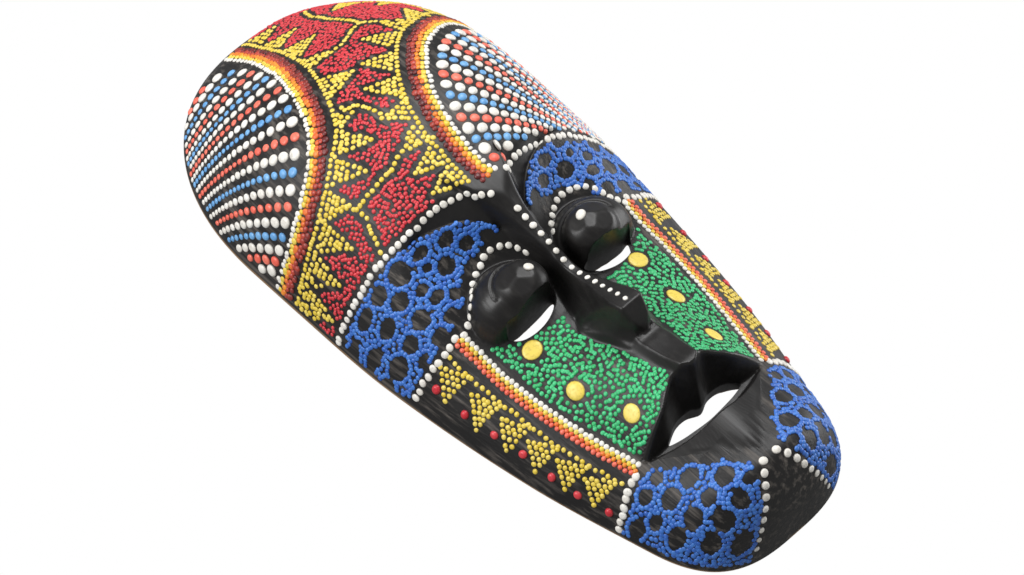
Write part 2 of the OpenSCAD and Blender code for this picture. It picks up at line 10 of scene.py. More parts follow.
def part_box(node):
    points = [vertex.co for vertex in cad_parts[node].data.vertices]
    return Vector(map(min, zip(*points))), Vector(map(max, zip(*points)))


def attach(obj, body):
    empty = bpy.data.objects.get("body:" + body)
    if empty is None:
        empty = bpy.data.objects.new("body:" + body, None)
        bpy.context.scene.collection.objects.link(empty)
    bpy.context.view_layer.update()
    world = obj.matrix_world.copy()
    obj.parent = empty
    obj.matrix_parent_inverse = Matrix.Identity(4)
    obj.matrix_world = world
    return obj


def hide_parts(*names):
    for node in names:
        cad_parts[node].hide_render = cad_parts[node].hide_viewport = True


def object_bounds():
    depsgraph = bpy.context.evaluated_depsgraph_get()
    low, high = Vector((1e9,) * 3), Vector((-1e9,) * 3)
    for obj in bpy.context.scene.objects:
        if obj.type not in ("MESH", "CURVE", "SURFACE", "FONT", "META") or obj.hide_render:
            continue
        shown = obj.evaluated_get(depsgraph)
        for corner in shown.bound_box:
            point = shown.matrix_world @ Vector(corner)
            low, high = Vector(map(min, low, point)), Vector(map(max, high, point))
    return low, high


# A carved wooden mask, painted black and covered with raised dots of acrylic paint.
# The carving and the painting are worked out in face coordinates, in millimetres: x across,
# v up from the chin's end and h forward of the flat back rim.

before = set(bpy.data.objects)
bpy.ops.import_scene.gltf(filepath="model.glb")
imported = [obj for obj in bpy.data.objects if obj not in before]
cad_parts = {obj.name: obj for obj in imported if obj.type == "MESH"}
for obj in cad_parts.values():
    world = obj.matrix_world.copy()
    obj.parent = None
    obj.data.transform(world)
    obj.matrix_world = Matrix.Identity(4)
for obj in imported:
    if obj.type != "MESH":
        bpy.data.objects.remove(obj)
CAD_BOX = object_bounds()
MM = 0.001
shell_low, shell_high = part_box("wooden_shell")
CHIN_Z = shell_low.z                      # the chin's end, where v is 0
SIDES = {"left": -1, "right": 1}
WIDEST, LONGEST = 68.3, 300.4             # the uneven carving's own reach, in millimetres
FIT_WIDE = shell_high.x / MM / WIDEST
FIT_LONG = (shell_high.z - shell_low.z) / MM / LONGEST


# ---------------------------------------------------------------- small maths
def ramp(a, b, t):
    s = np.clip((t - a) / (b - a), 0, 1)
    return s * s * (3 - 2 * s)


def smooth_max(a, b, k):
    return (a + b + np.sqrt((a - b) ** 2 + k * k)) / 2


def track(knots, t):
    """Smooth curve through knots, each (position, value)."""
    k = np.array(knots, float)
    xs, ys = k[:, 0], k[:, 1]
    slope = np.empty(len(xs))
    slope[1:-1] = (ys[2:] - ys[:-2]) / (xs[2:] - xs[:-2])
    slope[0] = (ys[1] - ys[0]) / (xs[1] - xs[0])
    slope[-1] = (ys[-1] - ys[-2]) / (xs[-1] - xs[-2])
    t = np.clip(t, xs[0], xs[-1])
    i = np.clip(np.searchsorted(xs, t, side="right") - 1, 0, len(xs) - 2)
    d = xs[i + 1] - xs[i]
    s = (t - xs[i]) / d
    return ((2 * s**3 - 3 * s**2 + 1) * ys[i] + (s**3 - 2 * s**2 + s) * d * slope[i]
            + (3 * s**2 - 2 * s**3) * ys[i + 1] + (s**3 - s**2) * d * slope[i + 1])


def noise(x, v, cell, seed):
    """Smooth random field from -1 to 1, with features about one cell across."""
    a, b = np.asarray(x) / cell[0] + 500.0, np.asarray(v) / cell[1] + 500.0
    i, j = np.floor(a).astype(np.int64), np.floor(b).astype(np.int64)
    fa, fb = a - i, b - j
    fa, fb = fa * fa * (3 - 2 * fa), fb * fb * (3 - 2 * fb)

    def corner(p, q):
        n = (p * 374761393 + q * 668265263 + seed * 982451653) & 0xFFFFFFFF
        n = ((n ^ (n >> 13)) * 1274126177) & 0xFFFFFFFF
        return ((n ^ (n >> 16)) & 0xFFFF) / 32767.5 - 1

    low = corner(i, j) * (1 - fa) + corner(i + 1, j) * fa
    high = corner(i, j + 1) * (1 - fa) + corner(i + 1, j + 1) * fa
    return low * (1 - fb) + high * fb


def line_distance(x, v, path):
    """Distance to an open path in the face's plane, and how far along it, from 0 to 1."""
    p = np.array(path, float)
    leg = np.linalg.norm(np.diff(p, axis=0), axis=1)
    start = np.concatenate([[0], np.cumsum(leg)[:-1]])
    best = np.full(np.shape(x), 1e9)
    place = np.zeros(np.shape(x))
    for k in range(len(leg)):
        dx, dv = p[k + 1] - p[k]
        s = np.clip(((x - p[k, 0]) * dx + (v - p[k, 1]) * dv) / leg[k] ** 2, 0, 1)
        d = np.hypot(x - p[k, 0] - s * dx, v - p[k, 1] - s * dv)
        nearer = d < best
        best = np.where(nearer, d, best)
        place = np.where(nearer, (start[k] + s * leg[k]) / leg.sum(), place)
    return best, place


def groove(x, v, path, wide, deep):
    """A gouge along a path, tapering at both ends."""
    d, s = line_distance(x, v, path)
    return deep * np.exp(-(d / wide) ** 2) * np.clip(5 * s * (1 - s) + 0.15, 0, 1)


def inside(x, v, outline):
    """Which points lie inside an outline."""
    o = np.array(outline, float)
    hit = np.zeros(np.shape(x), bool)
    for (ax, av), (bx, bv) in zip(o, np.roll(o, -1, axis=0)):
        if av != bv:
            hit ^= ((av > v) != (bv > v)) & (x < ax + (bx - ax) * (v - av) / (bv - av))
    return hit


def rounded(points, closed=False, steps=8):
    """Smooth curve through the points."""
    p = np.array(points, float)
    if closed:
        p = np.vstack([p[-1], p, p[0], p[1]])
    else:
        p = np.vstack([2 * p[0] - p[1], p, 2 * p[-1] - p[-2]])
    t = np.arange(steps)[:, None] / steps
    out = []
    for a, b, c, d in zip(p[:-3], p[1:-2], p[2:-1], p[3:]):
        out.append(0.5 * (2 * b + (c - a) * t + (2 * a - 5 * b + 4 * c - d) * t**2
                          + (3 * b - 3 * c + d - a) * t**3))
    if not closed:
        out.append(p[-2:-1])
    return np.vstack(out)


# ---------------------------------------------------------------- the carving
CHIN_LEN, CHIN_POWER = 34, 2.9
CROWN_LEN, CROWN_POWER = 82, 2.25
MASK_LEN = 300
SECTION_POWER, SECTION_FALL = 2.8, 0.78
WALL = 8
SIDE = [(0, 38), (20, 42), (80, 57), (145, 66.5), (190, 68), (300, 68)]
CENTRE = [
    (0, 0), (3, 17), (8, 28), (16, 35.5), (30, 34), (50, 31.5), (80, 32), (105, 33), (125, 37),
    (145, 46), (165, 55), (195, 61), (215, 60), (235, 54), (255, 42), (272, 27), (285, 15),
    (295, 6.5), (300, 0)
]
# How far the muzzle swells over the face, and the share left at a distance from the middle
MUZZLE = [(49.2, 0), (49.8, 21), (58, 21), (66, 17.5), (75, 14.5), (85, 10.5), (95, 6), (105, 2),
          (112, 0)]
MUZZLE_WIDE, MUZZLE_POWER = 31, 1.15
NOSE_TOP = [(56, 53.6), (60, 53), (66, 50.3), (75, 47.4), (79.6, 46.3), (81, 48.6), (84, 52.8),
            (88, 57), (89.5, 56.8), (93, 55.5), (104, 50.5), (120, 45.5), (133, 50.5), (145, 54),
            (160, 57), (175, 58)]
NOSE_RIDGE = [(56, 4), (78, 5), (84, 4.2), (90, 5.2), (96, 4.6), (104, 3), (113, 1.9), (125, 2.2),
              (145, 3.5), (160, 8), (175, 14)]
NOSE_FOOT = [(56, 6), (66, 6.8), (75, 8), (82, 8.6), (88, 9.8), (95, 11.5), (102, 12.3),
             (108, 10.5), (125, 6.5), (145, 9), (160, 16)]
NOSE_LOW = [(56, 48.5), (66, 46), (75, 43), (82, 40.5), (88, 38.5), (95, 36), (102, 33.5),
            (110, 31), (160, 31)]
NOSTRIL_ARC = [(80.4, 1), (81.4, 2.4), (83, 3.7), (85.5, 4.9), (88, 5.6), (92, 5.9), (95, 6.4),
               (98, 7.2), (100, 8), (102, 9.5), (104.5, 12.5)]
MOUTH_HALF, MOUTH_FLOOR, LIP_REACH = 30.5, 25, 33.5
BROW_V = 151
NOWHERE = -50                             # a height under everything else
LID_X, LID_V, LID_RX, LID_RV = 21, 128.3, 17, 15.2
LID_FOOT, LID_RISE = 30, 18
BALL_X, BALL_V, BALL_RX, BALL_RV = 18, 126.3, 11, 10.3
BALL_FOOT, BALL_RISE = 42.5, 9.6
SLIT_TOP = [(8, 117), (14, 116), (22, 117), (29, 118.5), (36, 121.5), (43, 128)]
# Flat cuts left on the eyeball by the knife: each is (height at the ball's centre, fall per mm
# outwards, fall per mm upwards)
BALL_CUTS = [(51.4, -0.05, 0.05), (52.3, 0.36, 0.08), (52.4, 0.08, 0.4), (53, 0.45, 0.5),
             (52.9, -0.45, 0.3), (52, 0.25, -0.3)]
UPPER_LIP = [(0, 56.6), (2.5, 57.3), (6.5, 60), (8.5, 59.6), (11, 58), (17, 54.7), (23.5, 52.3),
             (30.5, 49.5)]
OPENING_TOP = [(0, 49.8), (3, 50.9), (6, 52.2), (11, 52), (18, 49.3), (24, 48.6), (30.5, 49)]
LOWER_LIP = [(0, 42), (10, 42.3), (20, 44.5), (26, 47), (30.5, 49)]

# Gouges of the left half; the right half mirrors them
CRESCENT_EDGE = rounded([(-42, 165), (-34, 165), (-25, 162), (-17, 158), (-10, 152), (-6, 146),
                         (-4.5, 137), (-4.5, 124)])
WING_CREASE = rounded([(-12, 101), (-9.5, 106), (-7, 104), (-5.2, 99.5)])
# Creases of the lid: depth, distance from the ball's middle and width in its radii, and the
# angles, in degrees from the inner corner, between which each one deepens
LID_CREASES = [(1.7, 1.05, 0.06, -31, -30), (0.5, 1.24, 0.03, 60, 90), (0.35, 1.38, 0.025, 75, 100)]


def half_width(v):
    chin = (1 - np.clip((CHIN_LEN - v) / CHIN_LEN, 0, 1) ** CHIN_POWER) ** (1 / CHIN_POWER)
    crown_t = np.clip((v - MASK_LEN + CROWN_LEN) / CROWN_LEN, 0, 1)
    return track(SIDE, v) * chin * (1 - crown_t**CROWN_POWER) ** (1 / CROWN_POWER)


def dome(x, v):
    u = np.clip(np.abs(x) / np.maximum(half_width(v), 0.001), 0, 1)
    return track(CENTRE, v) * (1 - u**SECTION_POWER) ** SECTION_FALL


def socket(ax, v):
    brow = BROW_V + 12 * ramp(2, 30, ax) + 2 * ramp(30, 60, ax)
    return (7 * np.exp(-((ax - 20) / 17) ** 2) * (1 - ramp(brow - 12, brow + 6, v))
            * ramp(108, 134, v))


def muzzle(ax, v):
    return track(MUZZLE, v) * np.clip(1 - (ax / MUZZLE_WIDE) ** MUZZLE_POWER, 0, 1)


def lid_radius(ax, v):
    return np.hypot((ax - LID_X) / LID_RX, (v - LID_V) / LID_RV)


def ball_radius(ax, v):
    return np.hypot((ax - BALL_X) / BALL_RX, (v - BALL_V) / BALL_RV)


def eye(ax, v):
    """A lid's slope with the eyeball standing on it, cut off square along the slit."""
    r, q = lid_radius(ax, v), ball_radius(ax, v)
    lid = np.where(r < 1, LID_FOOT + LID_RISE * np.clip(1 - r * r, 0, 1) ** 0.5, -20)
    ball = np.where(q < 1, BALL_FOOT + BALL_RISE * np.sqrt(np.clip(1 - q * q, 0, 1)), -20)
    for high, out, up in BALL_CUTS:
        ball = np.minimum(ball, high - out * (ax - BALL_X) - up * (v - BALL_V))
    return np.where(v > track(SLIT_TOP, ax), smooth_max(lid, ball, 0.5), -20)


def nose(ax, v):
    """A flat ridge with steep sides, which are hollowed over the nostrils."""
    top, ridge = track(NOSE_TOP, v), track(NOSE_RIDGE, v)
    t = np.maximum(0, (ax - ridge) / (track(NOSE_FOOT, v) - ridge))
    arc = track(NOSTRIL_ARC, v)
    past = np.clip((ax - arc) / (track(NOSE_FOOT, v) - 0.8 - arc), 0, 1)
    scoop = 3.2 * ramp(0, 0.12, past) * (1 - past) ** 0.7 * ramp(79.8, 81, v) * (1 - ramp(99, 103.5, v))
    rim = 0.9 * np.exp(-((past - 0.97) / 0.08) ** 2) * ramp(79, 82, v) * (1 - ramp(99, 104, v))
    return np.where(t > 1.3, NOWHERE, top - t * (top - track(NOSE_LOW, v)) - scoop + rim)


def lip_underside(ax, v):
    """The two hollow faces from the upper lip's edge back to the opening."""
    e, low = track(UPPER_LIP, ax), track(OPENING_TOP, ax)
    h = dome(ax, e) + muzzle(ax, e)
    t = np.clip((v - low) / np.maximum(e - low, 0.1), 0, 1)
    return MOUTH_FLOOR + (h - MOUTH_FLOOR) * t**1.1


def lower_lip(ax, v):
    top, keel = track(LOWER_LIP, ax), 20 + 29 * ax / MOUTH_HALF
    h = 36.5 - 13 * (np.minimum(ax, MOUTH_HALF) / MOUTH_HALF) ** 1.4
    marks = 0.06 * np.sin(4.2 * ax + 1.5 * v + 2 * noise(ax, v, (6, 6), 7)) * ramp(4, 9, ax)
    return h + marks - 3.5 * np.maximum(v - top, 0) - 1.1 * np.maximum(keel + 3 - v, 0)


def crescent(x, v):
    """The scooped, polished band under the inner half of each brow."""
    d, s = line_distance(x, v, CRESCENT_EDGE)
    k = CRESCENT_EDGE
    above = v > np.interp(x, k[:, 0], k[:, 1])
    wide = 1.5 + 8 * ramp(0, 0.45, s) - 5.5 * ramp(0.6, 1, s)
    scoop = ramp(0, 0.7, d) * (1 - ramp(0.25, 1, d / wide))
    return np.where(above, scoop, 0) * 2.2 * ramp(0, 0.12, s) * (1 - ramp(0.93, 1, s))


def carving(x, v):
    """Knife work that the plain shape lacks."""
    ax = np.abs(x)
    q = ball_radius(ax, v)
    angle = np.degrees(np.arctan2((v - BALL_V) / BALL_RV, (BALL_X - ax) / BALL_RX))
    lid = ramp(-30, 0, angle) * (1 - ramp(165, 180, angle))
    cut = crescent(-ax, v) + groove(-ax, v, WING_CREASE, 0.8, 0.8)
    for deep, place, wide, first, full in LID_CREASES:
        cut = cut + deep * np.exp(-((q - place) / wide) ** 2) * lid * ramp(first, full, angle)
    return cut


def face_h(x, v):
    """Height of the finished face over the back rim's plane."""
    x, v = np.asarray(x, float), np.asarray(v, float)
    ax = np.abs(x)
    h = dome(x, v) + muzzle(ax, v) - socket(ax, v)
    h = smooth_max(h, eye(ax, v), 0.7)
    h = np.where((v > 56) & (v < 176), smooth_max(h, nose(ax, v), 0.6), h)
    h = np.where((v > 8) & (v < 60) & (ax < LIP_REACH), smooth_max(h, lower_lip(ax, v), 1), h)
    parted = (ax < MOUTH_HALF) & (v > track(LOWER_LIP, ax)) & (v < track(UPPER_LIP, ax))
    floor = np.maximum(lip_underside(ax, v), h - 3.5 * (v - track(LOWER_LIP, ax)))
    h = np.where(parted, np.minimum(h, floor), h)
    fade = ramp(0, 12, h)
    uneven = 0.22 * noise(x, v, (17, 24), 1) + 0.1 * noise(x, v, (6, 13), 2)
    return h - fade * (carving(x, v) - uneven)


def on_face(x, v):
    """Points on the face, in the frame's millimetres."""
    x, v = np.asarray(x, float), np.asarray(v, float)
    return np.stack([x, -face_h(x, v), v], -1)


def face_frame(x, v):
    """Points on the face with their normals and two directions along the surface."""
    e = 0.4
    p = on_face(x, v)
    across = on_face(np.asarray(x) + e, v) - on_face(np.asarray(x) - e, v)
    up = on_face(x, np.asarray(v) + e) - on_face(x, np.asarray(v) - e)
    across /= np.linalg.norm(across, axis=-1, keepdims=True)
    n = np.cross(across, up)
    n /= np.linalg.norm(n, axis=-1, keepdims=True)
    return p, n, across, np.cross(n, across)


def to_metres(p):
    """The frame's place of a point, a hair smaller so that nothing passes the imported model's box."""
    q = np.asarray(p) * MM
    q[..., 0] *= FIT_WIDE
    q[..., 2] = CHIN_Z + q[..., 2] * FIT_LONG
    high = CAD_BOX[1]
    return np.clip(q, CAD_BOX[0], (high[0], 1, high[2]))


# ---------------------------------------------------------------- mesh helpers
def add_mesh(name, verts, faces, smooth=True, attributes=None):
    mesh = bpy.data.meshes.new(name)
    mesh.from_pydata([tuple(p) for p in to_metres(verts)], [], faces)
    mesh.validate()
    if smooth:
        mesh.shade_smooth()
    for key, values in (attributes or {}).items():
        set_attribute(mesh, key, values)
    return linked(name, mesh)


def linked(name, data):
    obj = bpy.data.objects.new(name, data)
    bpy.context.scene.collection.objects.link(obj)
    return obj


def set_attribute(mesh, key, values):
    layer = mesh.attributes.new(key, "FLOAT", "POINT")
    layer.data.foreach_set("value", np.asarray(values, np.float32))


def strip(a, b):
    """Quads between two rows of vertex numbers."""
    return [(a[j], a[j + 1], b[j + 1], b[j]) for j in range(len(a) - 1)]


def prism(name, outline, y_low, y_high, rings=1):
    """A closed block with the given outline, straight through the mask."""
    n = len(outline)
    levels = np.linspace(y_low, y_high, rings + 1)
    verts = [(x, y, v) for y in levels for x, v in outline]
    faces = [tuple(range(n)), tuple(range(n * rings + n - 1, n * rings - 1, -1))]
    for k in range(rings):
        faces += [(k * n + i, k * n + n + i, k * n + n + (i + 1) % n, k * n + (i + 1) % n)
                  for i in range(n)]
    obj = add_mesh(name, np.array(verts, float), faces, smooth=False)
    fix_normals(obj.data)
    return obj


def fix_normals(mesh, change=None):
    """Turns a mesh's faces outwards, after a change to it if one is given."""
    bm = bmesh.new()
    bm.from_mesh(mesh)
    if change:
        change(bm)
    bmesh.ops.recalc_face_normals(bm, faces=bm.faces)
    bm.to_mesh(mesh)
    bm.free()


def apply_modifiers(obj):
    graph = bpy.context.evaluated_depsgraph_get()
    mesh = bpy.data.meshes.new_from_object(obj.evaluated_get(graph))
    obj.modifiers.clear()
    obj.data = mesh


def cut_away(obj, cutters):
    for cutter in cutters:
        m = obj.modifiers.new("cut", "BOOLEAN")
        m.operation, m.object, m.solver = "DIFFERENCE", cutter, "EXACT"
    apply_modifiers(obj)
    for cutter in cutters:
        bpy.data.objects.remove(cutter)


# ---------------------------------------------------------------- the wooden shell
MOUTH = [
    (-19, 48.6), (-16, 50.6), (-11, 52.8), (-5.5, 53), (0, 50.8), (5.5, 53), (11, 52.8), (16, 50.6),
    (19, 48.6), (14, 47.2), (7, 46.4), (0, 46), (-7, 46.4), (-14, 47.2)
]
SLIT = [(8, 119.5), (12, 115.5), (18, 113.3), (24, 113.3), (29, 115.3), (32, 120), (27, 118.9),
        (22, 118.6), (15, 119)]
HOLLOW_LOW, HOLLOW_HIGH, RIM_K = 14, 261, 0.86
POCKET_DEEP, POCKET_R, POCKET_UP, POCKET_DOWN = 5, 11, 8, 19
FACE_ROWS = 26, 400, 60                   # round the chin, along the sides and round the crown
FACE_COLUMNS, HOLLOW_ROWS, HOLLOW_COLUMNS = 300, 150, 71
BEHIND = 2                                # how far the grids pass the back before it is cut flat
SHARP_ANGLE = 52


def hollow_point(u, t):
    """A point of the hollow: u runs from -1 to 1 across it, t from 0 to 1 up it."""
    v = HOLLOW_LOW + (HOLLOW_HIGH - HOLLOW_LOW) * t
    x = u * RIM_K * half_width(MASK_LEN * t)
    deep = ((track(CENTRE, v) - WALL) * (1 - np.abs(u) ** SECTION_POWER) ** 0.6
            * (1 - np.abs(2 * t - 1) ** 6) ** 0.5)
    gouge = 0.55 * np.abs(noise(x, v, (5.5, 34), 3)) + 0.2 * noise(x, v, (2.2, 12), 4)
    return x, deep + gouge * ramp(1, 8, deep), v


def grid_rows(chin, side, crown):
    a = CHIN_LEN * (1 - np.cos(np.radians(90 * np.arange(1, chin + 1) / chin)) ** (2 / CHIN_POWER))
    b = CHIN_LEN + (MASK_LEN - CROWN_LEN - CHIN_LEN) * np.arange(1, side + 1) / side
    s = np.sin(np.radians(90 * np.arange(1, crown) / crown)) ** (2 / CROWN_POWER)
    return np.concatenate([a, b, MASK_LEN - CROWN_LEN + CROWN_LEN * s])


def spread(n):
    s = np.linspace(-1, 1, n + 1)
    return 0.35 * np.sin(np.radians(90 * s)) + 0.65 * s


def soften(h):
    """Takes the stair-steps off the steepest cuts."""
    for axis in (0, 1):
        h = 0.25 * np.roll(h, 1, axis) + 0.5 * h + 0.25 * np.roll(h, -1, axis)
    return h


def openings():
    """The blocks that cut the back flat, the mouth, the slits and the hanger's pocket."""
    hang_v = -CHIN_Z / MM
    turn = np.radians(np.arange(0, 181, 10))
    pocket = [*zip(POCKET_R * np.cos(turn), hang_v + POCKET_UP + POCKET_R * np.sin(turn)),
              (-POCKET_R, hang_v - POCKET_DOWN), (POCKET_R, hang_v - POCKET_DOWN)]
    mouth, slit = (rounded(outline, closed=True, steps=5) for outline in (MOUTH, SLIT))
    through = {"mouth": mouth, "slit_right": slit, "slit_left": slit * (-1, 1)}
    return [
        prism("flat_back", [(-100, -20), (100, -20), (100, 320), (-100, 320)], 0, 5),
        *(prism(name, outline, -60, 6, rings=60) for name, outline in through.items()),
        prism("pocket", pocket, -POCKET_DEEP, 6),
    ]


def face_grid():
    """Points of the face, row by row from the chin, with both ends of each row behind the back."""
    rows, cols = grid_rows(*FACE_ROWS), spread(FACE_COLUMNS)
    v = rows[:, None] * np.ones_like(cols)
    x = cols * half_width(v)
    h = face_h(x, v)
    h[1:-1, 2:-2] = soften(h)[1:-1, 2:-2]
    h[:, [0, -1]] = -BEHIND
    return np.stack([x, -h, v], -1)


def hollow_grid():
    """Points of the hollow, laid out like the face's."""
    t = 0.5 - 0.5 * np.cos(np.pi * np.linspace(0, 1, HOLLOW_ROWS)[1:-1])
    u = np.sin(np.radians(90 * np.linspace(-1, 1, HOLLOW_COLUMNS)))
    x, h, v = hollow_point(*np.meshgrid(u, t))
    h[:, [0, -1]] = -BEHIND
    return np.stack([x, -h, v], -1)


def fill_ring(mesh, loops):
    """Closes the flat back between two loops of vertices."""
    pairs = [pair for loop in loops for pair in zip(loop, loop[1:] + loop[:1])]

    def fill(bm):
        bm.verts.ensure_lookup_table()
        edges = [bm.edges.get((bm.verts[int(a)], bm.verts[int(b)])) for a, b in pairs]
        bmesh.ops.triangle_fill(bm, edges=[e for e in edges if e], use_beauty=True,
                                normal=(0, 1, 0))

    fix_normals(mesh, fill)


def mark_wood(mesh):
    """Tells the material where the wood is bare and where it is polished."""
    co, normal = np.empty((2, len(mesh.vertices) * 3))
    mesh.vertices.foreach_get("co", co)
    mesh.vertices.foreach_get("normal", normal)
    x, y, z = co.reshape(-1, 3).T / MM
    v = z - CHIN_Z / MM
    set_attribute(mesh, "bare", unpainted(x, v, -y, normal[1::3]))
    set_attribute(mesh, "carved", carved_share(x, v))


def build_shell():
    """The carved wood: a grid for the face, one for the hollow and the flat ring between them."""
    front, back = face_grid(), hollow_grid()
    ends = [(0, BEHIND, v) for v in (0, MASK_LEN, HOLLOW_LOW, HOLLOW_HIGH)]
    verts = np.vstack([front.reshape(-1, 3), back.reshape(-1, 3), ends])
    chin, crown, low, high = range(len(verts) - 4, len(verts))
    f = np.arange(chin)[:front[..., 0].size].reshape(front.shape[:2])
    g = np.arange(chin)[f.size:].reshape(back.shape[:2])
    faces = []
    for a, b in zip(f[:-1], f[1:]):
        faces += strip(b, a)
    for a, b in zip(g[:-1], g[1:]):
        faces += strip(a, b)
    for tip, row in ((chin, f[0]), (crown, f[-1]), (low, g[0]), (high, g[-1])):
        step = 1 if tip in (chin, high) else -1
        faces += [(tip, *pair[::step]) for pair in zip(row[:-1], row[1:])]
    shell = add_mesh("carved_shell", verts, [tuple(int(i) for i in q) for q in faces])
    fill_ring(shell.data, ([chin, *f[:, 0], crown, *f[::-1, -1]],
                           [low, *g[:, 0], high, *g[::-1, -1]]))
    cut_away(shell, openings())
    mark_wood(shell.data)
    shell.data.shade_smooth()
    shell.data.set_sharp_from_angle(angle=math.radians(SHARP_ANGLE))
    return shell


def unpainted(x, v, h, facing_back):
    """1 in the bare hollow and on the flat rim, 0 on the black face and the openings' edges."""
    mottle = 0.6 * noise(x, v, (5, 5), 5)
    t = np.clip((v - HOLLOW_LOW) / (HOLLOW_HIGH - HOLLOW_LOW), 0, 1)
    u = np.clip(np.abs(x) / (RIM_K * np.maximum(half_width(MASK_LEN * t), 1)), 0, 1)
    hollow = (h < hollow_point(u, t)[1] + 1.5) * ramp(0.1, 0.3, facing_back)
    rim = (1 - ramp(0.1, 0.5, h)) * (1 - ramp(-3, -1.5, np.abs(x) - half_width(v) + mottle))
    return np.maximum(hollow, rim)


def carved_share(x, v):
    """1 on the polished features, 0 on the painted wood round them."""
    ax = np.abs(x)
    around = 1 - ramp(1.0, 1.15, lid_radius(ax, v))
    bridge = 1 - ramp(0, 3, ax - track(NOSE_FOOT, v) - 1)
    bridge = bridge * ramp(54, 56, v) * (1 - ramp(160, 168, v))
    d, _ = line_distance(-ax, v, CRESCENT_EDGE)
    above = v > np.interp(-ax, CRESCENT_EDGE[:, 0], CRESCENT_EDGE[:, 1])
    scoop = np.where(above, 1 - ramp(7, 9, d), 0) * (1 - ramp(38, 42, ax))
    lips = ((ax < LIP_REACH) & (v > 20 + ax) & (v < track(UPPER_LIP, ax) + 1.5)).astype(float)
    return np.clip(np.maximum.reduce([around, bridge, scoop, lips]), 0, 1)


# ---------------------------------------------------------------- paint dots
def dome_template(sides, rings):
    """A drop of paint, one unit in radius and height, closed underneath."""
    verts, faces = [(0, 0, 1.0)], []
    radii = [0.36, 0.68, 0.9, 1.0][-rings:]
    for r in radii:
        z = (1 - r**2.6) ** 0.62
        verts += [(r * math.cos(2 * math.pi * k / sides), r * math.sin(2 * math.pi * k / sides), z)
                  for k in range(sides)]
    verts += [(x, y, -1.0) for x, y, z in verts[-sides:]]
    rows = [[1 + i * sides + k for k in range(sides)] for i in range(len(radii) + 1)]
    faces += [(0, rows[0][k], rows[0][(k + 1) % sides]) for k in range(sides)]
    for a, b in zip(rows[:-1], rows[1:]):
        faces += [(a[k], b[k], b[(k + 1) % sides], a[(k + 1) % sides]) for k in range(sides)]
    faces.append(tuple(reversed(rows[-1])))
    return np.array(verts, float), faces


SMALL_DROP = dome_template(10, 3)
LARGE_DROP = dome_template(16, 4)
LARGE = 1.4                               # the radius from which a drop gets the finer shape
SINK = 0.3                                # how deep a drop's foot reaches into the wood
EDGE_GAP, STIPPLE_GAP = 0.7, 0.8          # bare wood between drops, or stipple, and the edge
NO_TONE = -1                              # the drop takes a tone of its own by chance
OFF_RIM = 0.02                            # nothing reaches nearer to the back rim's plane


def paint(name, drops, material, seed, lift=0.0):
    """Makes one piece out of many drops, each (x, v, radius) or (x, v, radius, tone)."""
    rng = np.random.default_rng(seed)
    rows = np.array([tuple(d) + (NO_TONE,) * (4 - len(d)) for d in drops], float)
    rows = rows[np.abs(rows[:, 0]) < half_width(rows[:, 1]) - EDGE_GAP]
    p, n, across, up = face_frame(rows[:, 0], rows[:, 1])
    verts, faces, tone, rim = [], [], [], []
    start = 0
    for k, (r, own_tone) in enumerate(rows[:, 2:]):
        shape, sides = LARGE_DROP if r > LARGE else SMALL_DROP
        r = r * rng.uniform(0.93, 1.07)
        tall = (0.22 + 0.3 * r) * rng.uniform(0.85, 1.15) + lift
        e1, e2 = across[k], up[k]
        local = shape.copy()
        wobble = 1 + 0.05 * np.sin(2 * np.arctan2(local[:, 1], local[:, 0]) + rng.uniform(0, 6.3))
        a = local[:, 0] * r * wobble
        b = local[:, 1] * r * wobble
        c = np.where(local[:, 2] < 0, -SINK - 0.02 * r * r, local[:, 2] * tall)
        dip = rng.uniform(0, 0.4) ** 2 * 2.2
        c[0] -= tall * dip
        lean = rng.uniform(-0.08, 0.08, 2) * r
        a = a + np.clip(local[:, 2], 0, 1) * lean[0]
        b = b + np.clip(local[:, 2], 0, 1) * lean[1]
        verts.append(p[k] + a[:, None] * e1 + b[:, None] * e2 + c[:, None] * n[k])
        faces += [tuple(i + start for i in q) for q in sides]
        shade = rng.uniform(0, 1)
        tone.append(np.full(len(shape), shade if own_tone == NO_TONE else own_tone + 0.15 * shade))
        rim.append(np.clip(local[:, 2], 0, 1))
        start += len(shape)
    verts = np.vstack(verts)
    verts[:, 1] = np.minimum(verts[:, 1], -OFF_RIM)
    obj = add_mesh("paint_" + name, verts, faces,
                   attributes={"tone": np.concatenate(tone), "rise": np.concatenate(rim)})
    finish_piece(obj, material, name)


def finish_piece(obj, material, node):
    obj.data.materials.clear()
    obj.data.materials.append(material)
    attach(obj, "mask")
    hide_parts(node)


def dense(route, shift=0.0):
    """Many points along a route, moved sideways along the surface by shift millimetres."""
    q = rounded(route, steps=10)
    if shift:
        p, n, _, _ = face_frame(q[:, 0], q[:, 1])
        tangent = np.gradient(p, axis=0)
        tangent /= np.linalg.norm(tangent, axis=1, keepdims=True)
        side = np.cross(n, tangent)
        q = q + shift * side[:, [0, 2]]
    return q


def measured(q):
    p = on_face(q[:, 0], q[:, 1])
    return np.concatenate([[0], np.cumsum(np.linalg.norm(np.diff(p, axis=0), axis=1))])


def pick(q, s, where):
    return np.stack([np.interp(where, s, q[:, 0]), np.interp(where, s, q[:, 1])], -1)


def row_along(route, pitch, shift=0.0, phase=0.0):
    """Points evenly spaced on the surface along a route."""
    q = dense(route, shift)
    s = measured(q)
    count = max(1, int(round(s[-1] / pitch)))
    where = s[-1] * (np.arange(count + 1) + phase) / count
    return pick(q, s, where[where <= s[-1]])


def sized(points, radius):
    return [(x, v, radius) for x, v in points]


def jitter(points, rng, amount):
    return np.asarray(points) + rng.normal(0, amount, np.shape(points))


